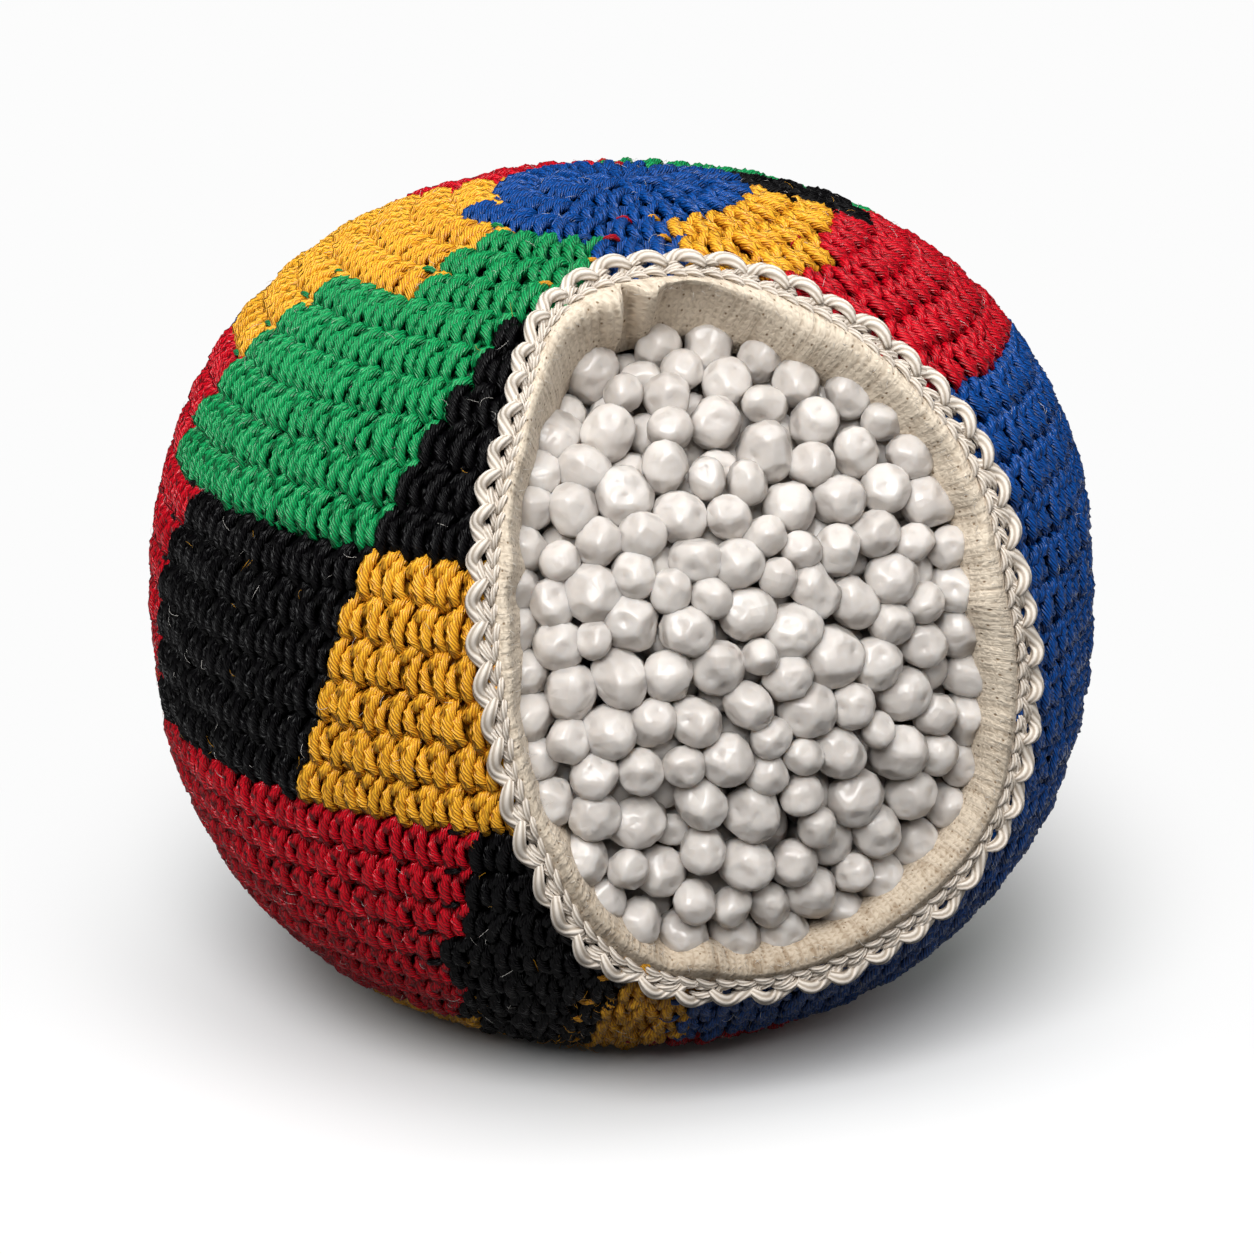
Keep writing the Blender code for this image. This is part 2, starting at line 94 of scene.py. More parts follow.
def window_heading(turn, spread):
    """Direction that leans spread away from the window's axis, at a turn round it."""
    turn, spread = np.broadcast_arrays(turn, spread)
    across = WINDOW_RIGHT * np.cos(turn)[..., None] + WINDOW_UP * np.sin(turn)[..., None]
    return WINDOW_AXIS * np.cos(spread)[..., None] + across * np.sin(spread)[..., None]


def between(before, here, there, after, t):
    """Smooth value a share t of the way from here to there, as a Catmull-Rom curve."""
    return here + t / 2 * (there - before + t * (2 * before - 5 * here + 4 * there - after
                                                 + t * (3 * (here - there) + after - before)))


def round_table(values, turn):
    """Smooth value at a turn, from values at even turns: right, top, left, bottom."""
    values = np.asarray(values, float)
    place = np.asarray(turn) / math.tau % 1 * len(values)
    index = place.astype(int)
    return between(*(values[(index + step) % len(values)] for step in (-1, 0, 1, 2)), place - index)


def edge_spread(turn):
    """Lean from the window's axis to the cut edge of the crochet."""
    return round_table(WINDOW_SHARES, turn) * WINDOW_REACH / BAG_RADIUS


def window_place(points):
    """Turn round the window and lean from its axis of each point."""
    direction = unit(points - CENTRE)
    turn = np.arctan2(direction @ WINDOW_UP, direction @ WINDOW_RIGHT)
    return turn, np.arccos(np.clip(direction @ WINDOW_AXIS, -1, 1))


def linear(code):
    """Linear colour of an sRGB hex code."""
    parts = [int(code[i:i + 2], 16) / 255 for i in (0, 2, 4)]
    return tuple(p / 12.92 if p < 0.04045 else ((p + 0.055) / 1.055) ** 2.4 for p in parts) + (1,)


def add_node(owner, kind, sockets=None, **settings):
    """Adds a node with its settings. A socket takes a value or another node's output."""
    node = owner.node_tree.nodes.new("ShaderNode" + kind)
    for key, value in settings.items():
        if hasattr(node, key):
            setattr(node, key, value)
        else:
            node.inputs[key.replace("_", " ")].default_value = value
    for socket, value in (sockets or {}).items():
        if isinstance(value, bpy.types.NodeSocket):
            owner.node_tree.links.new(value, node.inputs[socket])
        else:
            node.inputs[socket].default_value = value
    return node


def calculate(owner, operation, *values, **settings):
    """The result of a Math node on values or other nodes' outputs."""
    return add_node(owner, "Math", dict(enumerate(values)), operation=operation, **settings).outputs[0]


def new_material(name, **settings):
    """A material and its Principled shader with some sockets set, such as Sheen_Weight."""
    material = bpy.data.materials.new(name)
    material.use_nodes = True
    shader = material.node_tree.nodes["Principled BSDF"]
    for key, value in settings.items():
        shader.inputs[key.replace("_", " ")].default_value = value
    return material, shader


COLOUR_A, COLOUR_B, MIXED_COLOUR = 6, 7, 2       # The colour sockets of a Mix node, by number


def dress(piece, material, body, slot, *nodes):
    """Gives a finished piece its material and its body, and hides the CAD nodes it stands for; the slot is
    not used.
    """
    piece.data.materials.clear()
    piece.data.materials.append(material)
    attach(piece, body)
    if nodes:
        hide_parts(*nodes)
    return piece


# Undyed cotton jersey: fine matt knit, drawn about twice as coarse as real. Its wales run along the
# hem, each a column of slanting loops, over soft drawn folds, with needle holes about 1 mm apart, on
# an uneven warm white, with painted shade that darkens it low on the bag and in the creases.
LOOP_LENGTH, LOOP_WIDTH = 0.4, 0.45             # Millimetres, like the UV map
jersey, shader = new_material("cotton_jersey_undyed", Roughness=0.88, Sheen_Weight=0.12,
                              Specular_IOR_Level=0.2)
cloth_place = add_node(jersey, "UVMap", uv_map="UVMap").outputs["UV"]
stirred = add_node(jersey, "TexNoise", {"Vector": cloth_place}, noise_dimensions="2D", Scale=1.3,
                   Detail=2.0).outputs["Fac"]
knit = add_node(jersey, "Mapping", {"Vector": cloth_place}, Scale=(1 / LOOP_LENGTH, 1 / LOOP_WIDTH, 1))
knit = add_node(jersey, "SeparateXYZ", {"Vector": knit.outputs["Vector"]}).outputs
wale = calculate(jersey, "MULTIPLY_ADD", stirred, 1.6, knit["Y"])
leg = calculate(jersey, "PINGPONG", wale, 0.5)
row = calculate(jersey, "MULTIPLY_ADD", leg, 1.3, knit["X"])
row = calculate(jersey, "PINGPONG", row, 0.5)
loops = calculate(jersey, "ADD", leg, row)
drawn = add_node(jersey, "Mapping", {"Vector": cloth_place}, Rotation=(0, 0, math.radians(-14)),
                 Scale=(1.9, 0.45, 1)).outputs["Vector"]
folds = add_node(jersey, "TexNoise", {"Vector": drawn}, noise_dimensions="2D", Scale=1.0,
                 Detail=3.0, Roughness=0.55).outputs["Fac"]
pricked = add_node(jersey, "Mapping", {"Vector": cloth_place}, Scale=(1, 0.8, 1)).outputs["Vector"]
holes = add_node(jersey, "TexVoronoi", {"Vector": pricked}, voronoi_dimensions="2D",
                 Randomness=1.0, Scale=1.0).outputs["Distance"]
holes = add_node(jersey, "MapRange", {"Value": holes}, From_Min=0.03, From_Max=0.10, To_Min=1.0,
                 To_Max=0.0).outputs["Result"]
soiling = add_node(jersey, "TexNoise", {"Vector": cloth_place}, Scale=0.8, Detail=5.0,
                   Roughness=0.7).outputs["Fac"]
raised = add_node(jersey, "MapRange", {"Value": loops}, From_Min=0.35, From_Max=0.95,
                  To_Max=0.6).outputs["Result"]
soiling_and_shade = calculate(jersey, "MULTIPLY", soiling, raised)
upright = add_node(jersey, "TexCoord").outputs["Object"]
upright = add_node(jersey, "SeparateXYZ", {"Vector": upright}).outputs["Z"]
# Painted shade: the cloth is darker low on the bag, and in the creases of the folds below.
low_shade = add_node(jersey, "MapRange", {"Value": upright}, From_Min=24 * MM, From_Max=8 * MM,
                   To_Max=0.42).outputs["Result"]
crease_shade = add_node(jersey, "MapRange", {"Value": folds}, From_Min=0.52, From_Max=0.30,
                   To_Max=0.30).outputs["Result"]
for painted_shade in (low_shade, crease_shade):
    soiling_and_shade = calculate(jersey, "ADD", soiling_and_shade, painted_shade)
dark = calculate(jersey, "MAXIMUM", holes, soiling_and_shade)
tint = add_node(jersey, "Mix", {"Factor": dark, COLOUR_A: linear("DED0BC"), COLOUR_B: linear("80684C")},
                data_type="RGBA")
jersey.node_tree.links.new(tint.outputs[MIXED_COLOUR], shader.inputs["Base Color"])
bent = add_node(jersey, "Bump", {"Height": folds}, Strength=0.8, Distance=0.25 * MM)
relief = calculate(jersey, "ADD", holes, loops)
bump = add_node(jersey, "Bump", {"Height": relief, "Normal": bent.outputs["Normal"]}, invert=True,
                Strength=0.45, Distance=0.07 * MM)
jersey.node_tree.links.new(bump.outputs["Normal"], shader.inputs["Normal"])

# The cap of a ball is cut out, and the rest is drawn to the shell so that its rim is the mouth
bpy.ops.object.select_all(action="DESELECT")
bpy.ops.mesh.primitive_uv_sphere_add(segments=72, ring_count=36, radius=BAG_RADIUS, location=CENTRE)
pouch = bpy.context.object
pouch.name = "lining_pouch_cloth"
bpy.ops.object.transform_apply(location=True)
bpy.ops.object.mode_set(mode="EDIT")
bpy.ops.mesh.select_all(action="DESELECT")
bpy.ops.object.mode_set(mode="OBJECT")
for face in pouch.data.polygons:
    face.select = bool(face.center.z > CENTRE[2] + 0.99 * BAG_RADIUS)
bpy.ops.object.mode_set(mode="EDIT")
bpy.ops.mesh.delete(type="FACE")
bpy.ops.object.mode_set(mode="OBJECT")
around = np.array([v.co for v in pouch.data.vertices]) - CENTRE
turns = np.arctan2(around[:, 1], around[:, 0])
lean = np.arccos(np.clip(around[:, 2] / BAG_RADIUS, -1, 1)) / math.pi
mouth = edge_spread(turns) - MOUTH_REACH / BAG_RADIUS
placed = shell_point(window_heading(turns, mouth + (math.pi - mouth) * lean), POUCH_INSET)
for vertex, point in zip(pouch.data.vertices, placed):
    vertex.co = point
wall = pouch.modifiers.new("cloth", "SOLIDIFY")
wall.thickness, wall.offset = POUCH_CLOTH, -1
bpy.ops.object.modifier_apply(modifier="cloth")
bpy.ops.object.shade_smooth()
for corner in pouch.data.uv_layers[0].data:
    corner.uv = (CLOTH_LENGTH * corner.uv[0], CLOTH_DEPTH * corner.uv[1])
dress(pouch, jersey, "root", "lining_cotton", "lining_pouch")

# Filling. Small beads of milky plastic, cut from an extruded strand and tumbled, so no two are
# alike: some round, some blunt and some joined in pairs. They have slumped away from the top.
BEAD_RECESS, BEAD_SLUMP, LOOSE_RADIUS = 2.4 * MM, 1.6 * MM, 1.55 * MM
BEAD_RADII, BEAD_DEPTHS, BEADS = (1.12 * MM, 1.66 * MM), (1.4, 5.0), 360
BEAD_SHAPES, FLATS_PER_BEAD, FLAT_RIM, DENT_DEPTH, DENT_SIZE = 12, 8, 0.07, 0.10, 0.05
# How far inside the cut edge the beads end, and how much higher they have piled up at the wall
BEAD_ROOM = np.array((0.6, 0.3, 0.5, 0.4, -0.4, -0.2, 0.0, 0.3)) * MM
BEAD_PILE = np.array((1.3, 1.9, 2.0, 1.1, 0.2, 0.2, 0.4, 0.2, 0.0, 0.3, 1.0, 1.0, 0.5, 0.2, 0.1, 0.7)) * MM
# The beads settle in steps, shaken for most of them. In a step each moves by a share of its overlaps
# and rises a little. They may press into each other, but stay clear of one that lifts out.
SETTLING_STEPS, SHAKEN_STEPS, SHAKE = 240, 200, 0.3
PUSH_SHARE, RISE_STEP, TOUCH_SHARE, LIFT_GAP = 0.32, 0.02 * MM, 0.97, 0.02 * MM
draw = np.random.default_rng(5)


def filling_distance(direction):
    """Distance from the middle of the bag to the tops of the beads."""
    return shell_distance(direction, BEAD_RECESS + BEAD_SLUMP * (direction @ WINDOW_UP))


# Milky polyethylene: slightly see-through, so light spreads under the skin and the shade side
# stays pale and a little warm; tumbled, so the gloss is low and broken by faint dents.
plastic, shader = new_material("polyethylene_milky_tumbled", Roughness=0.25, IOR=1.5, Subsurface_Weight=0.35,
                               Subsurface_Radius=(1.0, 0.82, 0.66), Subsurface_Scale=1.0 * MM)
place = add_node(plastic, "TexCoord").outputs["Object"]
cloudy = add_node(plastic, "TexNoise", {"Vector": place}, Scale=0.45 / MM, Detail=3.0)
tint = add_node(plastic, "ValToRGB", {"Fac": cloudy.outputs["Fac"]})
for end, position, code in zip(tint.color_ramp.elements, (0.3, 0.7), ("C3BCB6", "D4CEC8")):
    end.position, end.color = position, linear(code)
plastic.node_tree.links.new(tint.outputs["Color"], shader.inputs["Base Color"])
marks = add_node(plastic, "TexNoise", {"Vector": place}, Scale=1.3 / MM, Detail=1.0).outputs["Fac"]
marked = add_node(plastic, "Bump", {"Height": marks}, Strength=0.7, Distance=0.14 * MM)
dents = add_node(plastic, "TexVoronoi", {"Vector": place}, feature="SMOOTH_F1", Scale=0.75 / MM,
                 Smoothness=0.6).outputs["Distance"]
bump = add_node(plastic, "Bump", {"Height": dents, "Normal": marked.outputs["Normal"]},
                Strength=1.0, Distance=0.55 * MM)
plastic.node_tree.links.new(bump.outputs["Normal"], shader.inputs["Normal"])


def blunt(points, flats, softness):
    """Presses flats into a ball of radius 1, each a direction and a distance, with soft rims."""
    for direction, distance in flats:
        over = points @ direction - distance
        pressed = np.where(over > 0, over - softness * np.tanh(over / softness), 0)
        points = points - pressed[:, None] * direction
    return points


# One ball is modelled and blunted and dented in several ways, the last of them a pair that has stuck
# together; every bead is a turned copy of one of them
bead_shapes = []
for number in range(BEAD_SHAPES):
    bpy.ops.object.select_all(action="DESELECT")
    bpy.ops.mesh.primitive_cube_add(size=1)
    ball = bpy.context.object
    bpy.ops.object.mode_set(mode="EDIT")
    bpy.ops.mesh.subdivide(number_cuts=3)
    bpy.ops.transform.tosphere(value=1)
    bpy.ops.object.mode_set(mode="OBJECT")
    points = unit(np.array([v.co for v in ball.data.vertices]))
    flats = [(unit(draw.normal(size=3)), draw.uniform(0.76, 0.95)) for _ in range(FLATS_PER_BEAD)]
    points = blunt(points, flats, FLAT_RIM)
    points *= draw.uniform(0.88, 1.17, 3)
    dent = unit(draw.normal(size=3))
    points = points * (1 - DENT_DEPTH * np.exp(-((1 - unit(points) @ dent) / DENT_SIZE)))[:, None]
    if number == BEAD_SHAPES - 1:
        points[:, 0] *= 1.30
        points[:, 1:] *= 0.76 + 0.2 * np.minimum(1, np.abs(points[:, :1]) / 0.6) ** 2
    bead_shapes.append(points)
    bead_faces = np.array([f.vertices for f in ball.data.polygons])
    bpy.data.objects.remove(ball, do_unlink=True)


def turned(count):
    """Even random turns, as matrices."""
    q = unit(draw.normal(size=(count, 4)))
    w, x, y, z = q.T
    entries = (1 - 2 * (y * y + z * z), 2 * (x * y - z * w), 2 * (x * z + y * w),
               2 * (x * y + z * w), 1 - 2 * (x * x + z * z), 2 * (y * z - x * w),
               2 * (x * z - y * w), 2 * (y * z + x * w), 1 - 2 * (x * x + y * y))
    return np.stack(entries, -1).reshape(-1, 3, 3)


def bead_mesh(name, centres, radii, shapes):
    """Mesh of beads at their centres, each a turned copy of one of the shapes."""
    spins = turned(len(centres))
    points = np.concatenate([bead_shapes[s] @ spin.T * r + c
                             for c, r, s, spin in zip(centres, radii, shapes, spins)])
    faces = np.concatenate([bead_faces + i * len(bead_shapes[0]) for i in range(len(centres))])
    mesh = bpy.data.meshes.new(name)
    mesh.from_pydata(points.tolist(), [], faces.tolist())
    mesh.shade_smooth()
    return mesh


# Loose beads lie where the frame has them. The rest start spread through the top of the filling
# and push each other apart until they lie close, under the slumped top and inside the lining.
loose_names = sorted(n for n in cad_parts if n.startswith("loose_pellet"))
loose = np.array([(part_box(n)[0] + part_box(n)[1]) / 2 for n in loose_names])
turns = draw.uniform(0, math.tau, BEADS)
leans = np.sqrt(draw.uniform(0, 1, BEADS)) * (edge_spread(turns) + 0.02)
centres = window_heading(turns, leans)
centres = CENTRE + centres * (filling_distance(centres) - draw.uniform(*BEAD_DEPTHS, BEADS) * MM)[:, None]
centres = np.concatenate((loose, centres))
radii = np.concatenate((np.full(len(loose), LOOSE_RADIUS), draw.uniform(*BEAD_RADII, BEADS)))
fixed = np.arange(len(centres)) < len(loose)
apart = radii[:, None] + radii[None, :]
for step in range(SETTLING_STEPS):
    gap = centres[:, None, :] - centres[None, :, :]
    along = gap @ WINDOW_AXIS
    lifted = (fixed[None, :] & (along > 0)) | (fixed[:, None] & (along < 0))
    gap = np.where(lifted[..., None], gap - along[..., None] * WINDOW_AXIS, gap)
    far = np.linalg.norm(gap, axis=-1) + 1e-9
    reach = np.where(lifted, apart + LIFT_GAP, apart * TOUCH_SHARE)
    near = (far < reach) & ~np.eye(len(centres), dtype=bool)
    push = (gap / far[..., None] * np.where(near, reach - far, 0)[..., None]).sum(1) * PUSH_SHARE
    direction = unit(centres - CENTRE)
    centres = np.where(fixed[:, None], centres, centres + push + direction * RISE_STEP)
    direction = unit(centres - CENTRE)
    distance = np.linalg.norm(centres - CENTRE, axis=-1)
    turn, lean = window_place(centres)
    pile = round_table(BEAD_PILE, turn) * np.clip(2.2 * lean / edge_spread(turn) - 1.2, 0, 1)
    shaken = draw.random(len(radii)) * SHAKE if step < SHAKEN_STEPS else SHAKE / 2
    top = filling_distance(direction) + pile - radii + shaken * MM
    wall = edge_spread(turn) + (-round_table(BEAD_ROOM, turn) - 0.35 * radii) / BAG_RADIUS
    held = window_heading(turn, np.minimum(lean, wall)) * np.minimum(distance, top)[:, None] + CENTRE
    centres = np.where(fixed[:, None], centres, held)
shapes = draw.integers(0, BEAD_SHAPES, len(centres))
heap = bead_mesh("pellet_heap", centres[~fixed], radii[~fixed], shapes[~fixed])
bed = bpy.data.objects.new("pellet_heap", heap)
bpy.context.scene.collection.objects.link(bed)
dress(bed, plastic, "root", "pellet_plastic", "pellet_bed")
for name, centre, shape in zip(loose_names, loose, shapes):
    mesh = bead_mesh(name + "_bead", centre[None], [LOOSE_RADIUS], [min(shape, BEAD_SHAPES - 2)])
    bead = bpy.data.objects.new(name + "_bead", mesh)
    bpy.context.scene.collection.objects.link(bead)
    dress(bead, plastic, "pellet_" + name[-2:], "pellet_plastic", name)

# Crochet cover. Single crochet in mercerised cotton of several fine plies, worked in rounds from the
# crown, about 1.6 mm a stitch. Every stitch shows the legs of its loop over the post behind them,
# and each block of colour is its own run of yarn, worked in where the CAD block lies.
ROUNDS, STITCH_WIDTH = 34, 1.6 * MM
FIRST_COLUMN, LEAN_PER_ROUND = math.radians(-38), math.radians(-1.6)
FLOOR_GAP = 0.05 * MM                           # No strand reaches lower than this

# The profile of the skin, walked from the crown to the base: how far out and how high it is, and
# which way it faces, smoothed over the rim of the base
elevations = np.linspace(math.pi / 2, -math.pi / 2, 1441)
profile = shell_point(heading(0.0, elevations), 0)
out, high = -profile[:, 1], profile[:, 2]
walked = np.concatenate(([0], np.cumsum(np.hypot(np.diff(out), np.diff(high)))))
ROUND_PITCH = walked[-1] / ROUNDS
tilt = np.arctan2(np.gradient(out, walked), -np.gradient(high, walked))
tilt = np.convolve(np.pad(tilt, 12, mode="edge"), np.ones(25) / 25, "valid")


def skin_place(walk, azimuth, height):
    """Point over the skin, at a walk from the crown and an azimuth, and the way the skin faces."""
    walk = np.clip(walk, 0.05 * MM, walked[-1] - 0.05 * MM)
    facing = np.interp(walk, walked, tilt)
    radius, level = np.interp(walk, walked, out), np.interp(walk, walked, high)
    normal = heading(azimuth, facing)
    point = heading(azimuth, 0.0) * radius[..., None] + np.stack((0 * level, 0 * level, level), -1)
    return point + normal * np.asarray(height)[..., None], normal


def eased(table, count):
    """A table of rows drawn out to a count of rows along a smooth curve."""
    table = np.asarray(table, float)
    place = np.linspace(0, len(table) - 1, count)
    index = np.minimum(place.astype(int), len(table) - 2)
    rows = np.vstack((2 * table[:1] - table[1:2], table, 2 * table[-1:] - table[-2:-1]))
    return between(*(rows[index + step] for step in range(4)), (place - index)[:, None])


def lay_strands(centres, outward, radii, lobes=4, groove=0.16, twist=0.0, closed=False):
    """Plied strands along rows of points: their points, faces and UVs, and how much painted shade each
    point gets, for lying sunk between plies or turned away from the light."""
    count, rings, _ = centres.shape
    if closed:
        ahead = unit(np.roll(centres, -1, 1) - np.roll(centres, 1, 1))
    else:
        ahead = unit(np.gradient(centres, axis=1))
    side = unit(np.cross(ahead, outward))
    rise = np.cross(side, ahead)
    sides = 2 * lobes
    share = np.arange(rings) / (rings if closed else rings - 1)
    angle = math.tau * (np.arange(sides) / sides + np.reshape(twist, (-1, 1, 1)) * share[None, :, None])
    swell = 1 - groove * (np.arange(sides) % 2)
    spoke = radii[..., None, None] * swell[:, None]
    points = centres[:, :, None] + spoke * (np.cos(angle)[..., None] * side[:, :, None]
                                            + np.sin(angle)[..., None] * rise[:, :, None])
    points[..., 2] = np.maximum(points[..., 2], FLOOR_GAP)
    grid = np.arange(rings * sides).reshape(rings, sides)
    beside = np.roll(grid, -1, 1)
    if closed:
        quads = np.stack((grid, np.roll(grid, -1, 0), np.roll(beside, -1, 0), beside), -1)
    else:
        quads = np.stack((grid[:-1], grid[1:], beside[1:], beside[:-1]), -1)
    spans = len(quads)
    u = np.broadcast_to(np.arange(sides) / sides, (spans, sides))
    v = np.broadcast_to(np.arange(spans)[:, None], (spans, sides)) / rings
    long = np.linalg.norm(np.diff(centres, axis=1), axis=-1).sum(1).mean() / (math.tau * radii.mean())
    corners = np.stack((np.stack((u, v * long), -1), np.stack((u, (v + 1 / rings) * long), -1),
                        np.stack((u + 1 / sides, (v + 1 / rings) * long), -1),
                        np.stack((u + 1 / sides, v * long), -1)), -2)
    steps = np.arange(count)[:, None, None] * rings * sides
    faces = [(quads.reshape(1, -1, 4) + steps).reshape(-1, 4)]
    maps = [np.broadcast_to(corners.reshape(1, -1, 4, 2), (count, spans * sides, 4, 2)).reshape(-1, 4, 2)]
    if not closed:
        ends = np.stack((grid[0], grid[-1][::-1]))
        faces.append((ends[None] + steps).reshape(-1, sides))
        maps.append(np.zeros((count * 2, sides, 2)))
    # Painted shade: darker in the grooves between the plies and on the side turned away from the light.
    depth = 0.7 * (np.arange(sides) % 2) + np.clip(0.5 - np.sin(angle), 0, 1.2)
    depth = np.broadcast_to(depth, (count, rings, sides))
    return points.reshape(-1, 3), faces, maps, depth.reshape(-1)


def join_mesh(name, parts):
    """One mesh of parts, each its points, faces, UVs and tone, which holds random paleness and painted shade.
    """
    mesh = bpy.data.meshes.new(name)
    starts = np.cumsum([0] + [len(p[0]) for p in parts])
    points = np.concatenate([p[0] for p in parts])
    corners, sizes, uvs = [], [], []
    for (_, faces, maps, _), start in zip(parts, starts):
        for face, uv in zip(faces, maps):
            corners.append((face + start).ravel())
            sizes.append(np.full(len(face), face.shape[1]))
            uvs.append(uv.reshape(-1, 2))
    corners, sizes = np.concatenate(corners), np.concatenate(sizes)
    mesh.vertices.add(len(points))
    mesh.vertices.foreach_set("co", points.astype(np.float32).ravel())
    mesh.loops.add(len(corners))
    mesh.loops.foreach_set("vertex_index", corners.astype(np.int32))
    mesh.polygons.add(len(sizes))
    mesh.polygons.foreach_set("loop_start", np.concatenate(([0], np.cumsum(sizes)[:-1])).astype(np.int32))
    mesh.uv_layers.new(name="UVMap").data.foreach_set("uv", np.concatenate(uvs).astype(np.float32).ravel())
    tone_and_shade = np.concatenate([np.broadcast_to(p[3], len(p[0])) for p in parts])
    mesh.attributes.new("tone_and_shade", "FLOAT", "POINT").data.foreach_set("value", tone_and_shade.astype(np.float32))
    mesh.update(calc_edges=True)
    mesh.validate()
    mesh.shade_smooth()
    piece = bpy.data.objects.new(name, mesh)
    bpy.context.scene.collection.objects.link(piece)
    return piece


def yarn_material(name, base, shade, gloss, plies=10):
    """Mercerised cotton: silky fine plies, fibres along them, and painted shade that darkens the grooves and
    sunk parts.
    """
    material, shader = new_material(name, Roughness=0.28, Specular_IOR_Level=gloss)
    along = add_node(material, "UVMap", uv_map="UVMap").outputs["UV"]
    fibres = add_node(material, "Mapping", {"Vector": along}, Scale=(30, 2.2, 1)).outputs["Vector"]
    hair = add_node(material, "TexNoise", {"Vector": fibres}, Scale=1.0, Detail=3.0,
                    Roughness=0.65).outputs["Fac"]
    ply = add_node(material, "TexWave", {"Vector": along}, bands_direction="X", Scale=plies * math.tau / 20,
                   Distortion=0.8, Detail=1.0, Phase_Offset=math.pi).outputs["Fac"]
    ply = add_node(material, "MapRange", {"Value": ply}, From_Min=0.0, From_Max=0.9).outputs["Result"]
    # Painted shade: the colour runs to the shade colour in the grooves between the plies, and where the point
    # attribute, which holds random paleness and painted shade, is low.
    relief = calculate(material, "MULTIPLY_ADD", hair, 0.45, ply)
    level = calculate(material, "MULTIPLY_ADD", relief, 0.90, 0.20)
    tone_and_shade = add_node(material, "Attribute", attribute_name="tone_and_shade").outputs["Fac"]
    mixed = calculate(material, "MULTIPLY", level, tone_and_shade)
    tint = add_node(material, "Mix", {"Factor": mixed, COLOUR_A: shade, COLOUR_B: base}, data_type="RGBA")
    material.node_tree.links.new(tint.outputs[MIXED_COLOUR], shader.inputs["Base Color"])
    bump = add_node(material, "Bump", {"Height": relief}, Strength=0.65, Distance=0.09 * MM)
    material.node_tree.links.new(bump.outputs["Normal"], shader.inputs["Normal"])
    return material


yarns = {
    "blue": yarn_material("cotton_yarn_blue", linear("084C9C"), linear("020A20"), 0.32),
    "green": yarn_material("cotton_yarn_green", linear("12A059"), linear("02200E"), 0.36),
    "yellow": yarn_material("cotton_yarn_yellow", linear("FCBA32"), linear("963C02"), 0.30),
    "red": yarn_material("cotton_yarn_red", linear("D20820"), linear("300003"), 0.28),
    "black": yarn_material("cotton_yarn_black", linear("050406"), linear("020202"), 0.13),
}

# Where every stitch sits: its walk from the crown, its azimuth and its width
stitch_walk, stitch_azimuth, stitch_width = [], [], []
for number in range(ROUNDS):
    walk = (number + 0.5) * ROUND_PITCH
    girth = math.tau * np.interp(walk, walked, out)
    count = max(6, round(girth / STITCH_WIDTH))
    first = FIRST_COLUMN + LEAN_PER_ROUND * (number + 0.5 - ROUNDS / 2)
    stitch_walk.append(np.full(count, walk))
    stitch_azimuth.append(first + math.tau * (np.arange(count) + 0.5) / count)
    stitch_width.append(np.full(count, girth / count))
stitch_walk, stitch_azimuth, stitch_width = map(np.concatenate, (stitch_walk, stitch_azimuth, stitch_width))
middles, _ = skin_place(stitch_walk, stitch_azimuth, 0 * stitch_walk)
turn, lean = window_place(middles)
kept = lean > edge_spread(turn) + 0.2 * MM / BAG_RADIUS
stitch_walk, stitch_azimuth, stitch_width, middles = (
    a[kept] for a in (stitch_walk, stitch_azimuth, stitch_width, middles))

# Each stitch belongs to the CAD block that lies nearest under it
blocks = sorted(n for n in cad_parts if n.startswith("cover_"))
block_points, block_faces, block_of_face = [], [], []
for number, name in enumerate(blocks):
    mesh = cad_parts[name].data
    start = len(block_points)
    block_points += [v.co for v in mesh.vertices]
    block_faces += [[start + i for i in f.vertices] for f in mesh.polygons]
    block_of_face += [number] * len(mesh.polygons)
finder = BVHTree.FromPolygons(block_points, block_faces)
owner = np.array([block_of_face[finder.find_nearest(p)[2]] for p in middles])

# The strands of a stitch, in millimetres right, up and out from its middle and thick: the long leg,
# the hooked short leg, the strand that slants up behind it, and the two that show between them. Then
# how many rings each has. They are drawn apart in depth and lifted by the two numbers below.
STRANDS = (
    (((0.34, 1.44, -0.70, 0.26), (0.12, 0.98, -0.32, 0.36), (-0.10, 0.48, -0.20, 0.40),
      (-0.23, -0.05, -0.17, 0.40), (-0.25, -0.60, -0.18, 0.39), (-0.15, -1.12, -0.24, 0.33),
      (0.04, -1.66, -0.80, 0.16)), 9),
    (((0.66, 0.80, -0.80, 0.22), (0.47, 0.42, -0.38, 0.32), (0.40, 0.00, -0.25, 0.36),
      (0.46, -0.42, -0.22, 0.37), (0.62, -0.88, -0.26, 0.33), (0.90, -1.34, -0.80, 0.16)), 7),
    (((1.78, 1.42, -0.70, 0.26), (1.50, 1.18, -0.34, 0.36), (1.18, 0.84, -0.24, 0.40),
      (0.92, 0.46, -0.32, 0.34), (0.74, 0.06, -0.80, 0.22)), 7),
    (((0.98, 0.30, -0.95, 0.20), (1.02, -0.06, -0.56, 0.28), (1.08, -0.46, -0.46, 0.30),
      (1.12, -0.94, -0.50, 0.27), (1.10, -1.44, -0.95, 0.15)), 5),
    (((0.36, -0.60, -0.95, 0.15), (0.24, -0.96, -0.50, 0.24), (0.22, -1.34, -0.54, 0.22),
      (0.32, -1.70, -0.95, 0.13)), 5),
)
DEPTH_SPREAD, STRAND_LIFT = 1.4, 0.16 * MM
POST_TOP, POST_FOOT = -0.95, -2.0               # Millimetres out from the skin
COVER_EDGE = 0.35 * MM                          # The yarn is pulled back this far from the cut edge


def behind_edge(points):
    """Points over the window are drawn back behind its cut edge."""
    offset = points - CENTRE
    far = np.linalg.norm(offset, axis=-1)
    turn, lean = window_place(points)
    limit = edge_spread(turn) + COVER_EDGE / BAG_RADIUS
    held = CENTRE + window_heading(turn, limit) * far[..., None]
    return np.where((lean < limit)[..., None], held, points)


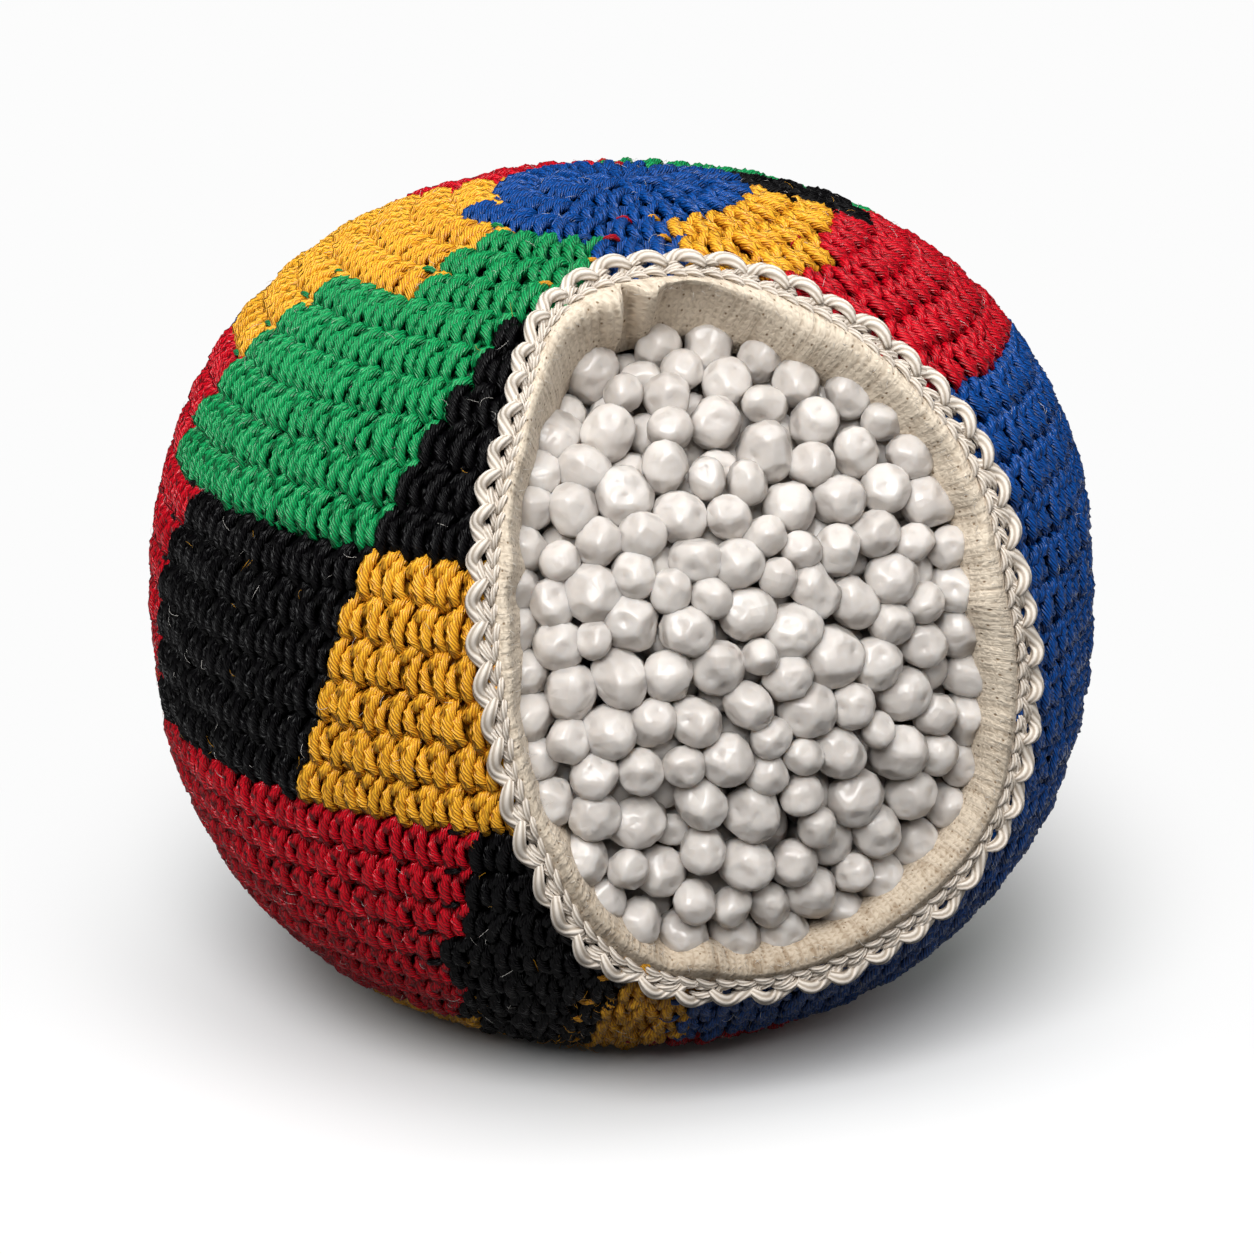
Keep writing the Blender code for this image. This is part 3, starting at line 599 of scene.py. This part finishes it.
# No two stitches are alike: by chance each is shifted, leans, and is plumper or paler
stitches = len(stitch_walk)
shift = draw.normal(0, 1, (stitches, 3)) * np.array((0.07, 0.07, 0.05)) * MM
sway = draw.normal(0, math.radians(5), stitches)
plump = draw.uniform(0.92, 1.08, stitches)
shade = draw.normal(1.0, 0.07, stitches)
laid = []
for table, rings in STRANDS:
    path = eased(table, rings) * MM
    path[:, 2] = DEPTH_SPREAD * path[:, 2] + STRAND_LIFT
    wobble = shift + draw.normal(0, 1, (stitches, 3)) * 0.045 * MM
    lean = sway + draw.normal(0, math.radians(3), stitches)
    right = path[:, 0] + lean[:, None] * path[:, 1] + wobble[:, :1]
    walk = stitch_walk[:, None] - path[:, 1] - wobble[:, 1:2]
    radius = np.maximum(np.interp(walk, walked, out), 1.2 * MM)
    azimuth = stitch_azimuth[:, None] + right * (stitch_width[:, None] / STITCH_WIDTH) / radius
    centres, outward = skin_place(walk, azimuth, path[:, 2] + wobble[:, 2:])
    radii = path[:, 3] * plump[:, None] * np.minimum(1, stitch_width[:, None] / STITCH_WIDTH + 0.1)
    laid.append((behind_edge(centres), outward, radii, path[:, 2] / MM, 0.46 * (len(table) - 1) / 2))


def stitch_parts(chosen):
    """The posts and strands of some stitches, ready to join."""
    parts = []
    for centres, outward, radii, sunk, turns in laid:
        twist = turns + draw.uniform(-0.1, 0.1, len(chosen))
        points, faces, maps, depth = lay_strands(centres[chosen], outward[chosen], radii[chosen], groove=0.1,
                                                 twist=twist)
        # Painted shade: strands that lie deeper in the stitch are darker.
        sunk_shade = np.clip(1 + 0.95 * (sunk + 0.28), 0.2, 1)
        ply = draw.normal(0, 0.05, (len(chosen), 1, 4)).repeat(2, 2)
        tone_and_shade = shade[chosen, None, None] * sunk_shade[None, :, None] + ply
        parts.append((points, faces, maps, tone_and_shade.reshape(-1) * (1.3 - 0.8 * depth)))
    corners = []
    for rise in (POST_TOP, POST_FOOT):
        for down, right in ((-0.52, -0.55), (0.52, -0.55), (0.52, 0.55), (-0.52, 0.55)):
            walk = stitch_walk[chosen] + down * ROUND_PITCH
            radius = np.maximum(np.interp(walk, walked, out), 0.3 * MM)
            side = stitch_azimuth[chosen] + right * stitch_width[chosen] / radius
            corners.append(behind_edge(skin_place(walk, side, np.full(len(chosen), rise * MM))[0]))
    points = np.stack(corners, 1).reshape(-1, 3)
    box = np.array(((0, 1, 2, 3), (7, 6, 5, 4), (0, 4, 5, 1), (1, 5, 6, 2), (2, 6, 7, 3), (3, 7, 4, 0)))
    faces = (box[None] + 8 * np.arange(len(chosen))[:, None, None]).reshape(-1, 4)
    # The posts lie deep behind the strands and are given painted shade.
    parts.append((points, [faces], [np.zeros((len(faces), 4, 2))], 0.4))
    return parts


# Where the colour changes in a round, the next yarn is carried on behind and shows as a small seed in
# the last stitch. A few more seeds show through at the crown and beside the window.
CARRIED = (((1.02, 1.22, -0.42, 0.05), (0.70, 1.26, -0.12, 0.17), (0.30, 1.22, -0.04, 0.20),
            (-0.08, 1.14, -0.12, 0.14), (-0.38, 1.06, -0.34, 0.04)), 7)
colour_of = np.array([name.split("_")[1] for name in blocks])[owner]
following = np.arange(stitches) + 1
following[-1] = 0
change = (np.abs(stitch_walk - stitch_walk[following]) < 0.1 * MM) & (colour_of != colour_of[following])
change &= np.abs(stitch_azimuth[following] - stitch_azimuth) * np.interp(stitch_walk, walked, out) < 2.5 * MM
carried = [(i, owner[following[i]]) for i in np.flatnonzero(change) if draw.random() < 0.8]
turned_in, leaned_in = window_place(middles)
beside = leaned_in - edge_spread(turned_in)
for shown, host, spot, often in (
        ("red", "blue", (stitch_walk < 13 * MM) & (np.abs(stitch_azimuth + 0.5) < 0.6), 0.25),
        ("yellow", "green", (beside < 3 * MM / BAG_RADIUS) & (np.abs(turned_in - 2.2) < 0.4), 0.8)):
    source = int(np.flatnonzero([n.startswith("cover_" + shown) for n in blocks])[0])
    carried += [(i, source) for i in np.flatnonzero(spot & (colour_of == host)) if draw.random() < often]


def carried_parts(number):
    """The seeds of a block's yarn that show in the stitches beside it."""
    hosts = np.array([i for i, block in carried if block == number], int)
    if not len(hosts):
        return []
    table, rings = CARRIED
    path = eased(table, rings) * MM
    wobble = draw.normal(0, 0.10, (len(hosts), 1, 2)) * MM
    radius = np.maximum(np.interp(stitch_walk[hosts], walked, out), 1.2 * MM)[:, None]
    azimuth = stitch_azimuth[hosts, None] + (path[:, 0] + wobble[..., 0]) / radius
    centres, outward = skin_place(stitch_walk[hosts, None] - path[:, 1] - wobble[..., 1], azimuth, path[:, 2])
    thick = path[:, 3] * draw.uniform(0.8, 1.15, (len(hosts), 1))
    points, faces, maps, depth = lay_strands(behind_edge(centres), outward, thick, twist=0.5)
    # Painted shade: the seeds are darker, most of all in the grooves and on the side turned from the light.
    return [(points, faces, maps, 0.8 - 0.35 * depth)]


for number, name in enumerate(blocks):
    chosen = np.flatnonzero(owner == number)
    colour = name.split("_")[1]
    run = join_mesh(name.replace("cover_", "crochet_"), stitch_parts(chosen) + carried_parts(number))
    dress(run, yarns[colour], "root", colour + "_yarn", name)

# Turned hem. The mouth of the pouch is drawn up through the window, turned over its cut edge and
# stitched down, so a soft rim of jersey shows that sinks to the pellets. It gathers into a pleat at
# the top left, bulges in at the right and puckers at the bottom.
HEM_COLUMNS, HEM_CLOTH = 900, 0.35 * MM
# By direction, how far the rim's crown and the foot of its wall lie inward of the cut edge
RIM_CROWN = MM * np.array((0.7, 0.45, 0.45, 0.6, 0.9, 0.6, 0.7, 0.6,
                           0.45, 0.45, 0.45, 0.3, 0.5, 0.8, 0.9, 0.9))
WALL_FOOT = MM * np.array((-0.7, -0.3, 0.1, 0.4, -0.1, 0.5, 0.5, 0.4,
                           0.35, 0.25, 0.1, 0.1, 0.2, -0.2, -0.4, -0.6))
# How much further out the edging lies than on the left, with the edge of the cloth under it, and how
# far the wall swells inward
EDGING_SHIFT = MM * np.array((0.3, 0.35, 0.25, 0.15, 0.3, 0.2, -0.3, -0.15,
                              0.0, 0.0, 0.25, 0.7, 0.45, 0.15, 0.0, 0.1))
WALL_SWELL = np.array((0.2, 0.1, 0.1, 0.5, -0.5, 0.3, 0.1, 0.0, 0.0, 0.0, 0.1, 0.2, 0.5, 0.5, 0.5, 0.5)) * MM


def edge_turns(count):
    """Turns at equal lengths along the cut edge, and the whole length of the edge."""
    around = np.linspace(0, math.tau, 2881)
    edge = shell_point(window_heading(around, edge_spread(around)), 0)
    lengths = np.concatenate(([0], np.cumsum(np.linalg.norm(np.diff(edge, axis=0), axis=1))))
    return np.interp(np.arange(count) * lengths[-1] / count, lengths, around), lengths[-1]


def edge_point(turn, inward, height):
    """Point beside the cut edge, inward of it and above the skin, and the way out of the bag there."""
    direction = window_heading(turn, edge_spread(turn) - inward / BAG_RADIUS)
    return CENTRE + direction * (shell_distance(direction, 0) + height)[..., None], direction


def pucker(turn, middle, width):
    """A soft swell, 1 at a turn in degrees and gone a width away."""
    off = (np.degrees(turn) - middle + 180) % 360 - 180
    return np.exp(-(off / width) ** 2)


turns, EDGE_LENGTH = edge_turns(HEM_COLUMNS)
pleat = 1.1 * pucker(turns, 99.8, 1.9) - 1.3 * pucker(turns, 103.2, 1.4) + 1.2 * pucker(turns, 106.6, 2.4)
pleat += 0.14 * np.sin(turns * 190) * pucker(turns, 105, 8)
hollow = pucker(turns, 92.5, 6) - 0.8 * pucker(turns, 72, 11)
bulge = pucker(turns, 352, 13)
crease = pucker(turns, 262, 3.5) - 0.8 * pucker(turns, 256, 2.5)
ripple = sum(draw.normal(0, 1) / n ** 0.7 * np.sin(n * turns + draw.uniform(0, math.tau))
             for n in range(5, 34))
ripple *= 0.13 * MM / np.std(ripple)
crown = round_table(RIM_CROWN, turns) + ripple
foot = round_table(WALL_FOOT, turns) + 1.6 * ripple
foot_depth = shell_distance(window_heading(turns, edge_spread(turns)), 0) - filling_distance(
    window_heading(turns, edge_spread(turns) - 1.0 * MM / BAG_RADIUS)) + 1.4 * MM
# Section of the cloth: how far it has gone from the crown to the foot (below zero: from the seam to
# the crown), how high it is over the skin in millimetres, and what share of the depth it has sunk
rows = (
    (-1.0, -0.9, 0), (-0.92, -0.2, 0), (-0.75, 0.04, 0), (-0.45, 0.16, 0), (-0.2, 0.30, 0),
    (0.0, 0.30, 0), (0.0, 0.20, 0.08), (0.0, 0.05, 0.16), (0.0, -0.1, 0.24), (0.15, -0.1, 0.33),
    (0.3, -0.1, 0.43), (0.45, -0.1, 0.54), (0.62, -0.1, 0.66), (0.8, -0.1, 0.8), (1.0, -0.1, 1.0),
)
rings, cloth_u = [], np.arange(HEM_COLUMNS + 1) * EDGE_LENGTH / HEM_COLUMNS / MM
for slide, lift, sink in rows:
    if slide < 0:
        inward = crown + slide * (crown + 0.80 * MM + round_table(EDGING_SHIFT, turns))
    else:
        inward = crown + 0.10 * MM * math.sin(math.pi * min(1, 4 * sink)) + (foot - crown) * slide ** 1.5
    height = lift * MM - sink * foot_depth
    give = math.sin(math.pi * (0.25 + 0.75 * sink)) if slide >= 0 else max(0, 1 + 2 * slide) * 0.7
    inward = inward + give * (pleat - 0.8 * hollow + 0.75 * bulge * (sink > 0) + 0.6 * crease) * MM
    inward = inward + math.sin(math.pi * min(1, 0.1 + sink)) * (sink > 0) * round_table(WALL_SWELL, turns)
    if slide >= 0:
        inward = np.maximum(inward, -0.05 * MM)
    height = height + give * (0.35 * pleat + 0.25 * crease) * MM
    rings.append(edge_point(turns, inward, height)[0])
rings = np.array(rings)
columns = np.arange(HEM_COLUMNS)
beside = (columns + 1) % HEM_COLUMNS
climb = np.concatenate(([0], np.cumsum(np.linalg.norm(np.diff(rings, axis=0), axis=2).mean(1)))) / MM
faces, maps = [], []
for row in range(len(rows) - 1):
    near, far = row * HEM_COLUMNS, (row + 1) * HEM_COLUMNS
    faces.append(np.stack((near + columns, near + beside, far + beside, far + columns), -1))
    left, right = cloth_u[:-1], cloth_u[1:]
    low, top = np.full(HEM_COLUMNS, climb[row]), np.full(HEM_COLUMNS, climb[row + 1])
    maps.append(np.stack((np.stack((left, low), -1), np.stack((right, low), -1),
                          np.stack((right, top), -1), np.stack((left, top), -1)), 1))
hem = join_mesh("hem_turned", [(rings.reshape(-1, 3), [np.concatenate(faces)], [np.concatenate(maps)], 1.0)])
bpy.ops.object.select_all(action="DESELECT")
hem.select_set(True)
bpy.context.view_layer.objects.active = hem
wall = hem.modifiers.new("cloth", "SOLIDIFY")
wall.thickness, wall.offset = HEM_CLOTH, -1
bpy.ops.object.modifier_apply(modifier="cloth")
dress(hem, jersey, "root", "lining_cotton", "lining_hem")

# Edging. Soft cotton cord holds the hem: along the rim two rows of links slant towards each other as
# the legs of a chain of Vs, and outside them one cord bends out and back under its own next bend, so
# that its scallops lie on the crochet. They are drawn closest at the top left.
SCALLOP_PITCH = np.array((2.15, 2.1, 2.05, 1.8, 2.05, 2.3, 2.2, 2.2)) * MM
# How much higher the edging lies than on the left, by direction
EDGING_RISE = np.array((0.15, 0.2, 0.15, 0.1, 0.1, 0.1, 0, 0, 0, 0, 0, 0.1, 0.1, 0.1, 0.1, 0.1)) * MM
EDGE_STEPS = 4000
cord = yarn_material("cotton_cord_undyed", linear("E6DCD0"), linear("8E7A62"), 0.14, plies=5)

# How many scallops have been worked at even lengths along the edge
even_turns, _ = edge_turns(EDGE_STEPS)
even_lengths = np.arange(EDGE_STEPS + 1) * EDGE_LENGTH / EDGE_STEPS
worked = np.concatenate(([0], np.cumsum(EDGE_LENGTH / EDGE_STEPS / round_table(SCALLOP_PITCH, even_turns))))
SCALLOPS = round(worked[-1])
LINKS = 2 * SCALLOPS


def edging_place(along, inward, height):
    """Point of the edging at a length along the cut edge, inward of it and above the skin."""
    turn = np.interp(along % EDGE_LENGTH, even_lengths, np.append(even_turns, math.tau))
    beyond = np.clip((0.1 * MM - inward) / (1.1 * MM), 0, 1)
    height = height + beyond * round_table(EDGING_RISE, turn)
    return edge_point(turn, inward - round_table(EDGING_SHIFT, turn), height)


# Strands of the edging, in shares of the pitch along, in millimetres inward and up, and thick: the
# scallop, the end of it that goes back under the next one, and a link of the chain
SCALLOP = ((-0.08, -0.44, 0.46, 0.22), (0.08, -0.66, 0.72, 0.34), (0.26, -0.94, 0.72, 0.38),
           (0.42, -1.14, 0.60, 0.38), (0.58, -1.19, 0.48, 0.38), (0.74, -1.06, 0.38, 0.38),
           (0.90, -0.82, 0.34, 0.37), (1.04, -0.60, 0.26, 0.32), (1.14, -0.44, 0.06, 0.20))
RETURN = ((0.40, -0.98, 0.06, 0.14), (0.58, -0.88, 0.34, 0.26), (0.80, -0.72, 0.46, 0.29),
          (0.99, -0.56, 0.44, 0.25), (1.14, -0.40, 0.10, 0.13))
LINK = ((-0.20, 0.20, -0.06, 0.10), (0.02, 0.14, 0.16, 0.19), (0.30, 0.05, 0.27, 0.23),
        (0.60, -0.04, 0.28, 0.23), (0.90, -0.12, 0.19, 0.20), (1.16, -0.18, 0.0, 0.11))


def row_of(table, rings, count=SCALLOPS, lean=0.0, flip=1, slim=1.0, lobes=3, groove=0.12, loose=0.045):
    """A row of short strands along the edge, each a copy of the table's, as parts of a mesh."""
    path = eased(table, rings)
    starts = np.arange(count)[:, None] + draw.normal(0, loose, (count, 1))
    wander = draw.normal(0, loose, (count, 2)) * MM
    stretch = draw.normal(1, loose, (count, 1))
    along = np.interp((starts + path[:, 0]) / count % 1, worked / worked[-1], even_lengths)
    inward = flip * path[:, 1] * stretch * MM + lean + wander[:, :1]
    places, outward = edging_place(along, inward, path[:, 2] * MM + wander[:, 1:])
    thick = path[:, 3] * MM * slim * draw.uniform(0.92, 1.1, (count, 1))
    points, faces, maps, depth = lay_strands(places, outward, thick, lobes=lobes, groove=groove,
                                             twist=draw.uniform(0.35, 0.75, count))
    # Painted shade: darker in the grooves between the plies and on the side turned from the light.
    return points, faces, maps, 1.15 - 0.36 * depth


scallops = join_mesh("scallop_cord", [row_of(SCALLOP, 17, lobes=5, groove=0.07, loose=0.06),
                                      row_of(RETURN, 9, slim=0.85, loose=0.05)])
dress(scallops, cord, "root", "edging_cotton", "edging_scallops")
chain = join_mesh("chain_and_stitches", [row_of(LINK, 9, LINKS, lean=-0.44 * MM, flip=-1),
                                         row_of(LINK, 9, LINKS, lean=-0.08 * MM)])
dress(chain, cord, "root", "edging_cotton", "edging_chain")

# Lint. Hand-worked cotton sheds: short hairs stand out of the yarn and of the turned hem, pale and
# golden ones on the dark blocks, and they are finer than they can be drawn, so these are 0.03 mm thick.
HAIR_RADIUS, HAIR_RINGS, HAIR_HEIGHT, LIP_HAIRS = 0.014 * MM, 6, 0.08 * MM, 260


def hairs(places, outward, lengths, lift):
    """Curled hairs that start at the places, lie along the surface and lift off it, as parts of a mesh."""
    count = len(places)
    aside = unit(np.cross(outward, draw.normal(size=(count, 3))))
    across = np.cross(outward, aside)
    share = np.linspace(0, 1, HAIR_RINGS)
    bend = draw.uniform(-2.2, 2.2, (count, 1)) * share
    run = np.cumsum(np.stack((np.cos(bend), np.sin(bend)), -1), axis=1) / HAIR_RINGS * lengths[:, None, None]
    rise = lengths[:, None] * lift * np.sin(share * draw.uniform(1.2, 2.6, (count, 1)))
    centres = (places[:, None] + run[..., :1] * aside[:, None] + run[..., 1:] * across[:, None]
               + rise[..., None] * outward[:, None])
    ways = np.broadcast_to(outward[:, None], centres.shape)
    thick = np.broadcast_to(HAIR_RADIUS * (1 - 0.6 * share), centres.shape[:2])
    return lay_strands(centres, ways, thick, lobes=2, groove=0.0)[:3] + (1.0,)


def shed(chosen, number, reach, lift):
    """Hairs at random over some stitches."""
    picked = draw.choice(np.flatnonzero(chosen), number)
    offset = draw.uniform(-1, 1, (number, 2)) * np.array((0.8, 1.2)) * MM
    radius = np.maximum(np.interp(stitch_walk[picked], walked, out), 1.2 * MM)
    azimuth = stitch_azimuth[picked] + offset[:, 0] / radius
    places, outward = skin_place(stitch_walk[picked] + offset[:, 1], azimuth, np.full(number, HAIR_HEIGHT))
    return hairs(behind_edge(places), outward, draw.uniform(*reach, number) * MM, lift)


pale_hair = yarn_material("cotton_lint_pale", linear("F4F0EA"), linear("C8C0B4"), 0.2)
dark = colour_of == "black"
near_yellow = change & (colour_of[following] == "yellow") & dark
lip_turns, _ = edge_turns(LIP_HAIRS)
lip = round_table(RIM_CROWN, lip_turns) + 0.15 * MM
lip_places, lip_outward = edge_point(lip_turns, lip, 0.05 * MM)
inwards = unit(np.cross(lip_outward, unit(np.roll(lip_places, -1, 0) - np.roll(lip_places, 1, 0))))
lint = join_mesh("lint_pale", [
    shed(dark, 150, (0.5, 1.3), 0.25), shed(colour_of == "blue", 150, (0.5, 1.2), 0.25),
    shed(colour_of == "green", 120, (0.4, 1.0), 0.3), shed(colour_of == "red", 160, (0.4, 1.0), 0.3),
    shed(colour_of == "yellow", 100, (0.4, 1.0), 0.3),
    hairs(lip_places, unit(lip_outward + 1.2 * inwards), draw.uniform(0.25, 0.7, LIP_HAIRS) * MM, 0.5)])
dress(lint, pale_hair, "root", "lining_cotton")
gold = join_mesh("lint_gold", [shed(dark, 90, (0.4, 1.1), 0.3), shed(near_yellow, 60, (0.4, 1.2), 0.45)])
dress(gold, yarns["yellow"], "root", "yellow_yarn")

# Studio. A pale seamless floor under broad soft lamps, and a camera a little above the bag, at the
# angle of the photograph. To the camera the floor is white and keeps the bag's soft shadow. It is
# dark to the light that would bounce up under the bag, and glossy rays see part of its white.
bpy.ops.object.select_all(action="DESELECT")
bpy.ops.mesh.primitive_grid_add(x_subdivisions=8, y_subdivisions=8, size=3.0)
floor = bpy.context.object
floor.name = "studio_floor"
paper, shader = new_material("backdrop_paper_matt", Base_Color=linear("2C2C2C"), Roughness=0.9)
floor.data.materials.append(paper)
spot = add_node(paper, "TexCoord").outputs["Object"]
oval = add_node(paper, "Mapping", {"Vector": spot}, Scale=(1.25, 0.78, 1)).outputs["Vector"]
away = add_node(paper, "VectorMath", {0: oval}, operation="LENGTH").outputs["Value"]
fade = add_node(paper, "MapRange", {"Value": away}, interpolation_type="SMOOTHSTEP",
                From_Min=30 * MM, From_Max=58 * MM).outputs["Result"]
rays = add_node(paper, "LightPath").outputs
seen = calculate(paper, "MULTIPLY_ADD", rays["Is Glossy Ray"], 0.4, rays["Is Camera Ray"], use_clamp=True)
seen = calculate(paper, "MAXIMUM", seen, rays["Is Transmission Ray"])
share = calculate(paper, "MULTIPLY", seen, fade)
lit = add_node(paper, "BsdfDiffuse", Color=(0.83, 0.83, 0.83, 1)).outputs["BSDF"]
shown = add_node(paper, "MixShader", {"Fac": seen, 1: shader.outputs["BSDF"], 2: lit})
glow = add_node(paper, "Emission", Color=linear("FCFCFC"), Strength=1.0).outputs["Emission"]
mixed = add_node(paper, "MixShader", {"Fac": share, 1: shown.outputs["Shader"], 2: glow})
paper.node_tree.links.new(mixed.outputs["Shader"], paper.node_tree.nodes["Material Output"].inputs["Surface"])

world = bpy.data.worlds.new("studio_light")
world.use_nodes = True
bpy.context.scene.world = world
backdrop = world.node_tree.nodes["Background"]
backdrop.inputs["Color"].default_value = (1, 1, 1, 1)
rays = add_node(world, "LightPath").outputs
level = add_node(world, "MapRange", {"Value": rays["Is Camera Ray"]}, To_Min=0.14, To_Max=0.97)
world.node_tree.links.new(level.outputs["Result"], backdrop.inputs["Strength"])


def add_lamp(name, place, size, power):
    """A soft box that faces the bag."""
    light = bpy.data.lights.new(name, "AREA")
    light.shape, light.size, light.energy = "DISK", size, power
    lamp = bpy.data.objects.new(name, light)
    lamp.location = place
    lamp.rotation_euler = (Vector(CENTRE) - Vector(place)).to_track_quat("-Z", "Y").to_euler()
    bpy.context.scene.collection.objects.link(lamp)


add_lamp("overhead_softbox", (-0.02, -0.08, 0.52), 0.66, 2.15)
add_lamp("front_softbox", (-0.09, -0.41, 0.41), 0.34, 2.8)
add_lamp("side_softbox", (0.28, -0.30, 0.40), 0.30, 0.60)

# The photograph's width and its middle, and where the middle of the bag lies in it, in its pixels
PHOTO_WIDTH, PHOTO_MIDDLE, BAG_PLACE = 1254, 627, (622, 596)
CAMERA_REACH, CAMERA_TILT, LENS_PIXELS = 230 * MM, math.radians(18), 3882
lens = bpy.data.cameras.new("camera")
lens.sensor_width = 36
lens.lens = lens.sensor_width * LENS_PIXELS / PHOTO_WIDTH
lens.clip_start = 0.01
camera = bpy.data.objects.new("camera", lens)
bpy.context.scene.collection.objects.link(camera)
camera.location = CENTRE - CAMERA_REACH * np.array((0, math.cos(CAMERA_TILT), -math.sin(CAMERA_TILT)))
camera.rotation_euler = (math.radians(90) - CAMERA_TILT - (PHOTO_MIDDLE - BAG_PLACE[1]) / LENS_PIXELS, 0,
                         -(PHOTO_MIDDLE - BAG_PLACE[0]) / LENS_PIXELS)
bpy.context.scene.camera = camera
bpy.context.scene.view_settings.view_transform = "Standard"
